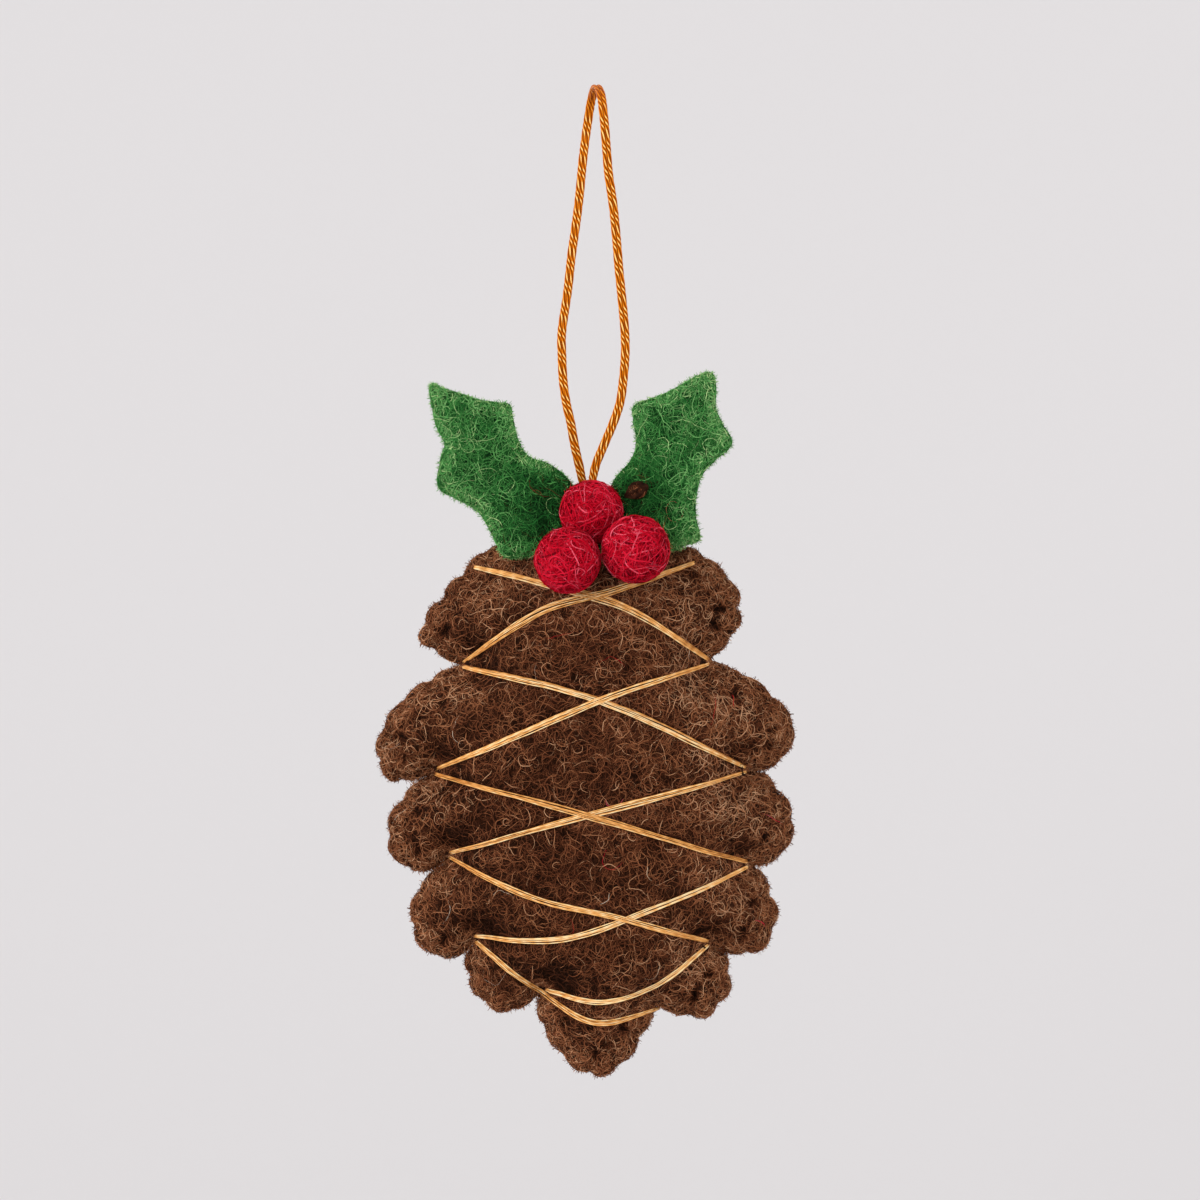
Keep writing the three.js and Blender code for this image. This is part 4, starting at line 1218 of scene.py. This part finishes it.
def lay_wool(name, surface, kind, count, material, body, seed, starts=None):
    """Curly ribbons of wool that creep over a surface, arched up off it and loose at their ends."""
    rng = np.random.default_rng(seed)
    starts = surface.scatter(rng, count) if starts is None else starts
    room = rng.uniform(0.1, 1, count) * kind["room"]
    steps = kind["steps"]
    step = (kind["length"] * rng.uniform(0.5, 1.5, count) / steps)[:, None]
    bend = rng.uniform(-FIBRE_BEND, FIBRE_BEND, (count, 1)) * step / kind["curl"]
    spot, normal = surface.settle(starts, room)
    heading = unit(np.cross(normal, rng.normal(size=(count, 3))))
    path, normals = [spot], [normal]
    for _ in range(steps):
        turn = bend + rng.normal(0, kind["wander"], (count, 1))
        heading = heading * np.cos(turn) + np.cross(normal, heading) * np.sin(turn)
        spot, normal = surface.settle(spot + heading * step, room)
        heading = square_to(normal, heading)
        path.append(spot)
        normals.append(normal)
    path, normals = np.stack(path, axis=1), np.stack(normals, axis=1)
    # Painted shade: a darker tone in creases and stitch holes, a lighter one where painted light is given
    shade = np.clip(surface.shade(path) / PAINTED_SHADE_DEPTH, *PAINTED_SHADE_SHARES)
    share = np.linspace(0, 1, steps + 1)
    arch = kind["lift"] * rng.uniform(0.1, 1, (count, 1)) * np.sin(np.pi * share)
    tips = kind["loose"] * rng.uniform(0, 1, (count, 1)) ** 2 * np.abs(2 * share - 1) ** 3
    path = path + normals * (FIBRE_STAND + (arch + tips) * surface.lift(path))[..., None]
    points = fibre_edges(path, normals, kind, rng)
    points = surface.to_world(points.reshape(-1, 3)).reshape(points.shape)
    lay_ribbons(name, points, rng.normal(kind["tone"], kind["spread"], (count, 1)) - shade, material, body)


def lay_ribbons(name, points, tone, material, body):
    """Ribbons from their two edges' points, in pieces of at most MOST_RIBBON_FACES each."""
    count, rows = points.shape[:2]
    pieces = 1 + count * (rows - 1) // MOST_RIBBON_FACES
    for part, chosen in enumerate(np.array_split(np.arange(count), pieces)):
        index = np.arange(len(chosen) * rows * 2).reshape(len(chosen), rows, 2)
        faces = np.stack([index[:, :-1, 0], index[:, :-1, 1], index[:, 1:, 1], index[:, 1:, 0]], axis=-1)
        tones = np.repeat(np.clip(tone[chosen], 0, 1).ravel(), 2)
        spots = points[chosen].reshape(-1, 3)
        new_mesh(f"{name}_{part + 1}", spots, faces.reshape(-1, 4), material, body, tones)


def lay_body_wool(face, side, freedom, painted_shade_and_light):
    """All the loose wool of one face of the body."""
    plate = Plate(
        edge_field, depth_fields[face], lambda p: in_body(p[:, :2], p[:, 2], side), painted_shade_and_light, freedom,
    )
    near_edge = plate.scatter(np.random.default_rng(40 + side), BODY_EDGE_COUNT, *BODY_EDGE_BAND)
    for layer, kind, count, material, seed, starts in (
        ("under_wool", UNDER_WOOL, BODY_UNDER_COUNT, brown_wool, 20, None),
        ("curls", CURLY_WOOL, BODY_CURL_COUNT, brown_wool, 30, None),
        ("edge_wool", EDGE_WOOL, BODY_EDGE_COUNT, brown_wool, 50, near_edge),
        ("strays", STRAY_WOOL, STRAY_COUNT, stray_wool, 60, None),
        ("red_strays", STRAY_WOOL, RED_STRAY_COUNT, red_wool, 70, None),
    ):
        lay_wool(f"{face}_{layer}", plate, kind, count, material, "pinecone", seed + side, starts)


floss_gap, _ = distance_to_line(grid_points, floss_starts, floss_ends)
floss_freedom = Field(grid_low, smooth(floss_gap, FLOSS_WIDTH / 3, FLOSS_WIDTH).reshape(grid_shape))
# Painted shade in the stitch holes, as deep as they pull the felt in, and painted light near the body's
# edge, fading out from 1 to 12 mm in
body_painted_shade_and_light = hole_depth(grid_points) - EDGE_PAINTED_LIGHT * (1 - smooth(grid_distance, *EDGE_PAINTED_LIGHT_INSETS))
for face, side in FACES.items():
    lay_body_wool(face, side, floss_freedom, body_painted_shade_and_light.reshape(grid_shape))
lay_tufts(
    "edge_tufts", edge, depth_fields["front"], lambda p: in_body(p[:, :2], p[:, 2], -1), TUFTS,
    BODY_TUFT_COUNT, brown_wool, "pinecone", 80,
)


# The leaves
def middle_and_reach(node):
    """A node's middle in the frame, and how far its box reaches from there along each axis."""
    low, high = (np.array(corner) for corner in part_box(node))
    return (low + high) / 2, (high - low) / 2


def closed_edge(shares, size, count):
    """A closed outline of count points through shares of a size, clockwise from its first point."""
    points = np.array(shares) * size
    ahead = np.roll(points, -1, axis=0)
    if (points[:, 0] * ahead[:, 1] - ahead[:, 0] * points[:, 1]).sum() > 0:
        points = points[::-1]
    whole = spline(np.vstack([points[-3:], points, points[:4]]), count * 4)
    away, middle = np.linalg.norm(whole - points[0], axis=1), len(whole) // 2
    first, last = away[:middle].argmin(), middle + away[middle:].argmin()
    return spline(whole[first:last + 1], count)[:-1]


class Leaf:
    """A felt leaf that leans back from its foot, cut clear of the berry between the leaves."""

    def __init__(self, shares, seed):
        self.seed = seed
        self.up = np.array((0, math.sin(LEAF_LEAN), math.cos(LEAF_LEAN)))
        self.out = np.array((0, -math.cos(LEAF_LEAN), math.sin(LEAF_LEAN)))
        self.foot = SEAM_TOP - (0, LEAF_STAND, 0)
        centre, radii = middle_and_reach("berry_top")
        self.berry = np.array((centre[0] - self.foot[0], (centre - self.foot) @ self.up))
        clear = radii.max() + NEST_GAP
        reach = math.sqrt(clear**2 - ((centre - self.foot) @ self.out) ** 2)
        loop = closed_edge(shares, LEAF_SIZE, LEAF_EDGE_POINTS)
        away = loop - self.berry
        gap = np.linalg.norm(away, axis=1, keepdims=True)
        self.loop = np.where(gap < reach, self.berry + away / gap * reach, loop)
        outward = outward_of(np.vstack([self.loop[-1:], self.loop, self.loop[:1]]))[1:-1]
        self.edge = Edge(self.loop - outward * FUZZ, outward)

    def to_world(self, points):
        upright = points[:, 1:2] * self.up + points[:, 2:] * self.out
        return self.foot + points[:, :1] * SIDEWAYS + upright

    def height(self, spots, distance, side):
        """How far a face stands from the leaf's middle."""
        lumps = LEAF_LUMP * cloud(spots, LEAF_LUMP_SIZE, self.seed + side)
        lumps += LEAF_FINE_LUMP * cloud(spots, LEAF_FINE_LUMP_SIZE, self.seed + 3 + side)
        rounding = rounded(distance, LEAF_ROUNDING)
        rim = LEAF_RIM_SHARE + (1 - LEAF_RIM_SHARE) * rounding
        return LEAF_HALF_THICKNESS * rim + lumps * rounding

    def warp(self, spots):
        """How far the leaf's middle is bent out of its plane."""
        return LEAF_WARP * cloud(spots, LEAF_WARP_SIZE, self.seed + 9)


def make_leaf_felt(name, leaf, body):
    """The leaf's plate of felt."""
    spots, triangles = plate_triangles(leaf.edge, LEAF_ROWS, LEAF_SPACING)
    distance = leaf.edge.distance(spots)[0]
    skins = []
    for side in FACES.values():
        depth = leaf.warp(spots) - side * leaf.height(spots, distance, side)
        skins.append(leaf.to_world(np.column_stack([spots, depth])))
    felt = plate_mesh(f"{name}_felt", spots, triangles, *skins, green_felt, body)
    stands_for(felt, "green_felt", name)


def lay_leaf_wool(name, leaf, body):
    """The loose wool of both of the leaf's faces and its edge, and brown strays at its foot."""
    low, shape, grid = grid_over(leaf.loop)
    distance = leaf.edge.distance(grid)[0]
    gap_field = Field(low, distance.reshape(shape))
    # Painted shade on the leaf's wool near the berry between the leaves
    painted_shade_and_light = LEAF_FOOT_SHADE * bell(np.linalg.norm(grid - leaf.berry, axis=1), LEAF_FOOT_REACH)
    plates = []
    for face, side in FACES.items():
        height = (leaf.height(grid, distance, side) - side * leaf.warp(grid)).reshape(shape)
        plate = Plate(
            gap_field, Field(low, height), lambda p, side=side: leaf.to_world(p * (1, 1, -side)),
            painted_shade_and_light.reshape(shape),
        )
        plates.append(plate)
        rng = np.random.default_rng(leaf.seed + 20 + side)
        near_edge = plate.scatter(rng, LEAF_EDGE_COUNT, *LEAF_EDGE_BAND)
        for layer, kind, count, seed, starts in (
            ("under", LEAF_UNDER_WOOL, LEAF_UNDER_COUNT, 0, None),
            ("curls", LEAF_WOOL, LEAF_CURL_COUNT, 5, None),
            ("edge", LEAF_EDGE_WOOL, LEAF_EDGE_COUNT, 11, near_edge),
        ):
            seed += leaf.seed + side
            lay_wool(f"{name}_{face}_{layer}", plate, kind, count, green_wool, body, seed, starts)
    half = Field(low, leaf.height(grid, distance, 1).reshape(shape))
    lay_tufts(
        f"{name}_tufts", leaf.edge, half, leaf.to_world, LEAF_TUFTS, LEAF_TUFT_COUNT, green_wool, body,
        leaf.seed + 30,
    )
    tries = leaf.berry + rng.normal(0, LEAF_FOOT_REACH / 2, (LEAF_STRAY_COUNT * 3, 2))
    found = tries[gap_field.at(tries) > 0][:LEAF_STRAY_COUNT]
    starts = np.column_stack([found, np.zeros(len(found))])
    lay_wool(
        f"{name}_strays", plates[0], LEAF_WOOL, len(found), brown_wool, body, leaf.seed + 31, starts,
    )


for name, shares, body, seed in (
    ("leaf_left", LEFT_LEAF, "left_leaf", 100), ("leaf_right", RIGHT_LEAF, "right_leaf", 200),
):
    leaf = Leaf(shares, seed)
    make_leaf_felt(name, leaf, body)
    lay_leaf_wool(name, leaf, body)


# The berries and the bud
def lumpy_ball(name, centre, radii, lump, material, body):
    """A ball of matted wool, uneven under the eye."""
    shape = bmesh.new()
    bmesh.ops.create_icosphere(shape, subdivisions=BALL_DETAIL, radius=1)
    shape.verts.index_update()
    points = []
    for vertex in shape.verts:
        way = vertex.co.normalized()
        swell = noise.noise(way * BALL_LUMPS + Vector(centre) * BALL_SHIFT)
        swell += noise.noise(way * BALL_FINE_LUMPS) / 2
        points.append([way[i] * (radii[i] + lump * swell) + centre[i] for i in range(3)])
    faces = np.array([[vertex.index for vertex in face.verts] for face in shape.faces])
    shape.free()
    return new_mesh(name, points, faces, material, body)


def shape_bud(mesh, centre):
    """Draws a ball out to a point at its low end, folds its skin along it and tips it up."""
    low_thinning, high_thinning = BUD_THINNING_SHARES
    for vertex in mesh.vertices:
        x, y, z = vertex.co
        share = x / BUD_RADII[0]
        thin = 1 - low_thinning * max(-share, 0) ** 2 - high_thinning * max(share, 0) ** 3
        thin *= 1 + BUD_FOLD_SHARE * math.sin(BUD_FOLDS * math.atan2(z, y) + BUD_FOLD_TURN * share)
        spot = Vector((x * (1 + BUD_TIP_SHARE * max(-share, 0) ** 2), y * thin, z * thin))
        spot.rotate(Euler((0, -BUD_TILT, 0)))
        vertex.co = spot + Vector(centre)


for number, node in enumerate(("berry_top", "berry_left", "berry_right")):
    centre, radii = middle_and_reach(node)
    radii = (radii.max() - FUZZ / 3,) * 3
    ball = lumpy_ball(f"{node}_felt", centre, radii, BERRY_LUMP, red_felt, "pinecone")
    stands_for(ball, "red_felt", node)
    for layer, kind, count, seed in (
        ("wound", WOUND_WOOL, BERRY_WOUND_COUNT, 300),
        ("curls", BERRY_UNDER_WOOL, BERRY_CURL_COUNT, 310),
        ("fuzz", BERRY_FUZZ, BERRY_FUZZ_COUNT, 320),
        ("strays", BERRY_STRAY, BERRY_STRAY_COUNT, 340),
    ):
        surface = Ball(centre, radii)
        lay_wool(f"{node}_{layer}", surface, kind, count, red_wool, "pinecone", seed + number)

bud_centre, bud_reach = middle_and_reach("wool_bud")
bud = lumpy_ball("bud_wool", (0, 0, 0), BUD_RADII, BERRY_LUMP / 3, brown_felt, "right_leaf")
shape_bud(bud.data, bud_centre)
stands_for(bud, "brown_wool", "wool_bud")
surface = Ball(bud_centre, bud_reach * BUD_WOOL_SHARE)
lay_wool("bud_curls", surface, BUD_WOOL, BUD_WOOL_COUNT, brown_wool, "right_leaf", 330)

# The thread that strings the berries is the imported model's own, in their red
frame["nodes"]["berry_thread"].data.materials.clear()
frame["nodes"]["berry_thread"].data.materials.append(red_felt)
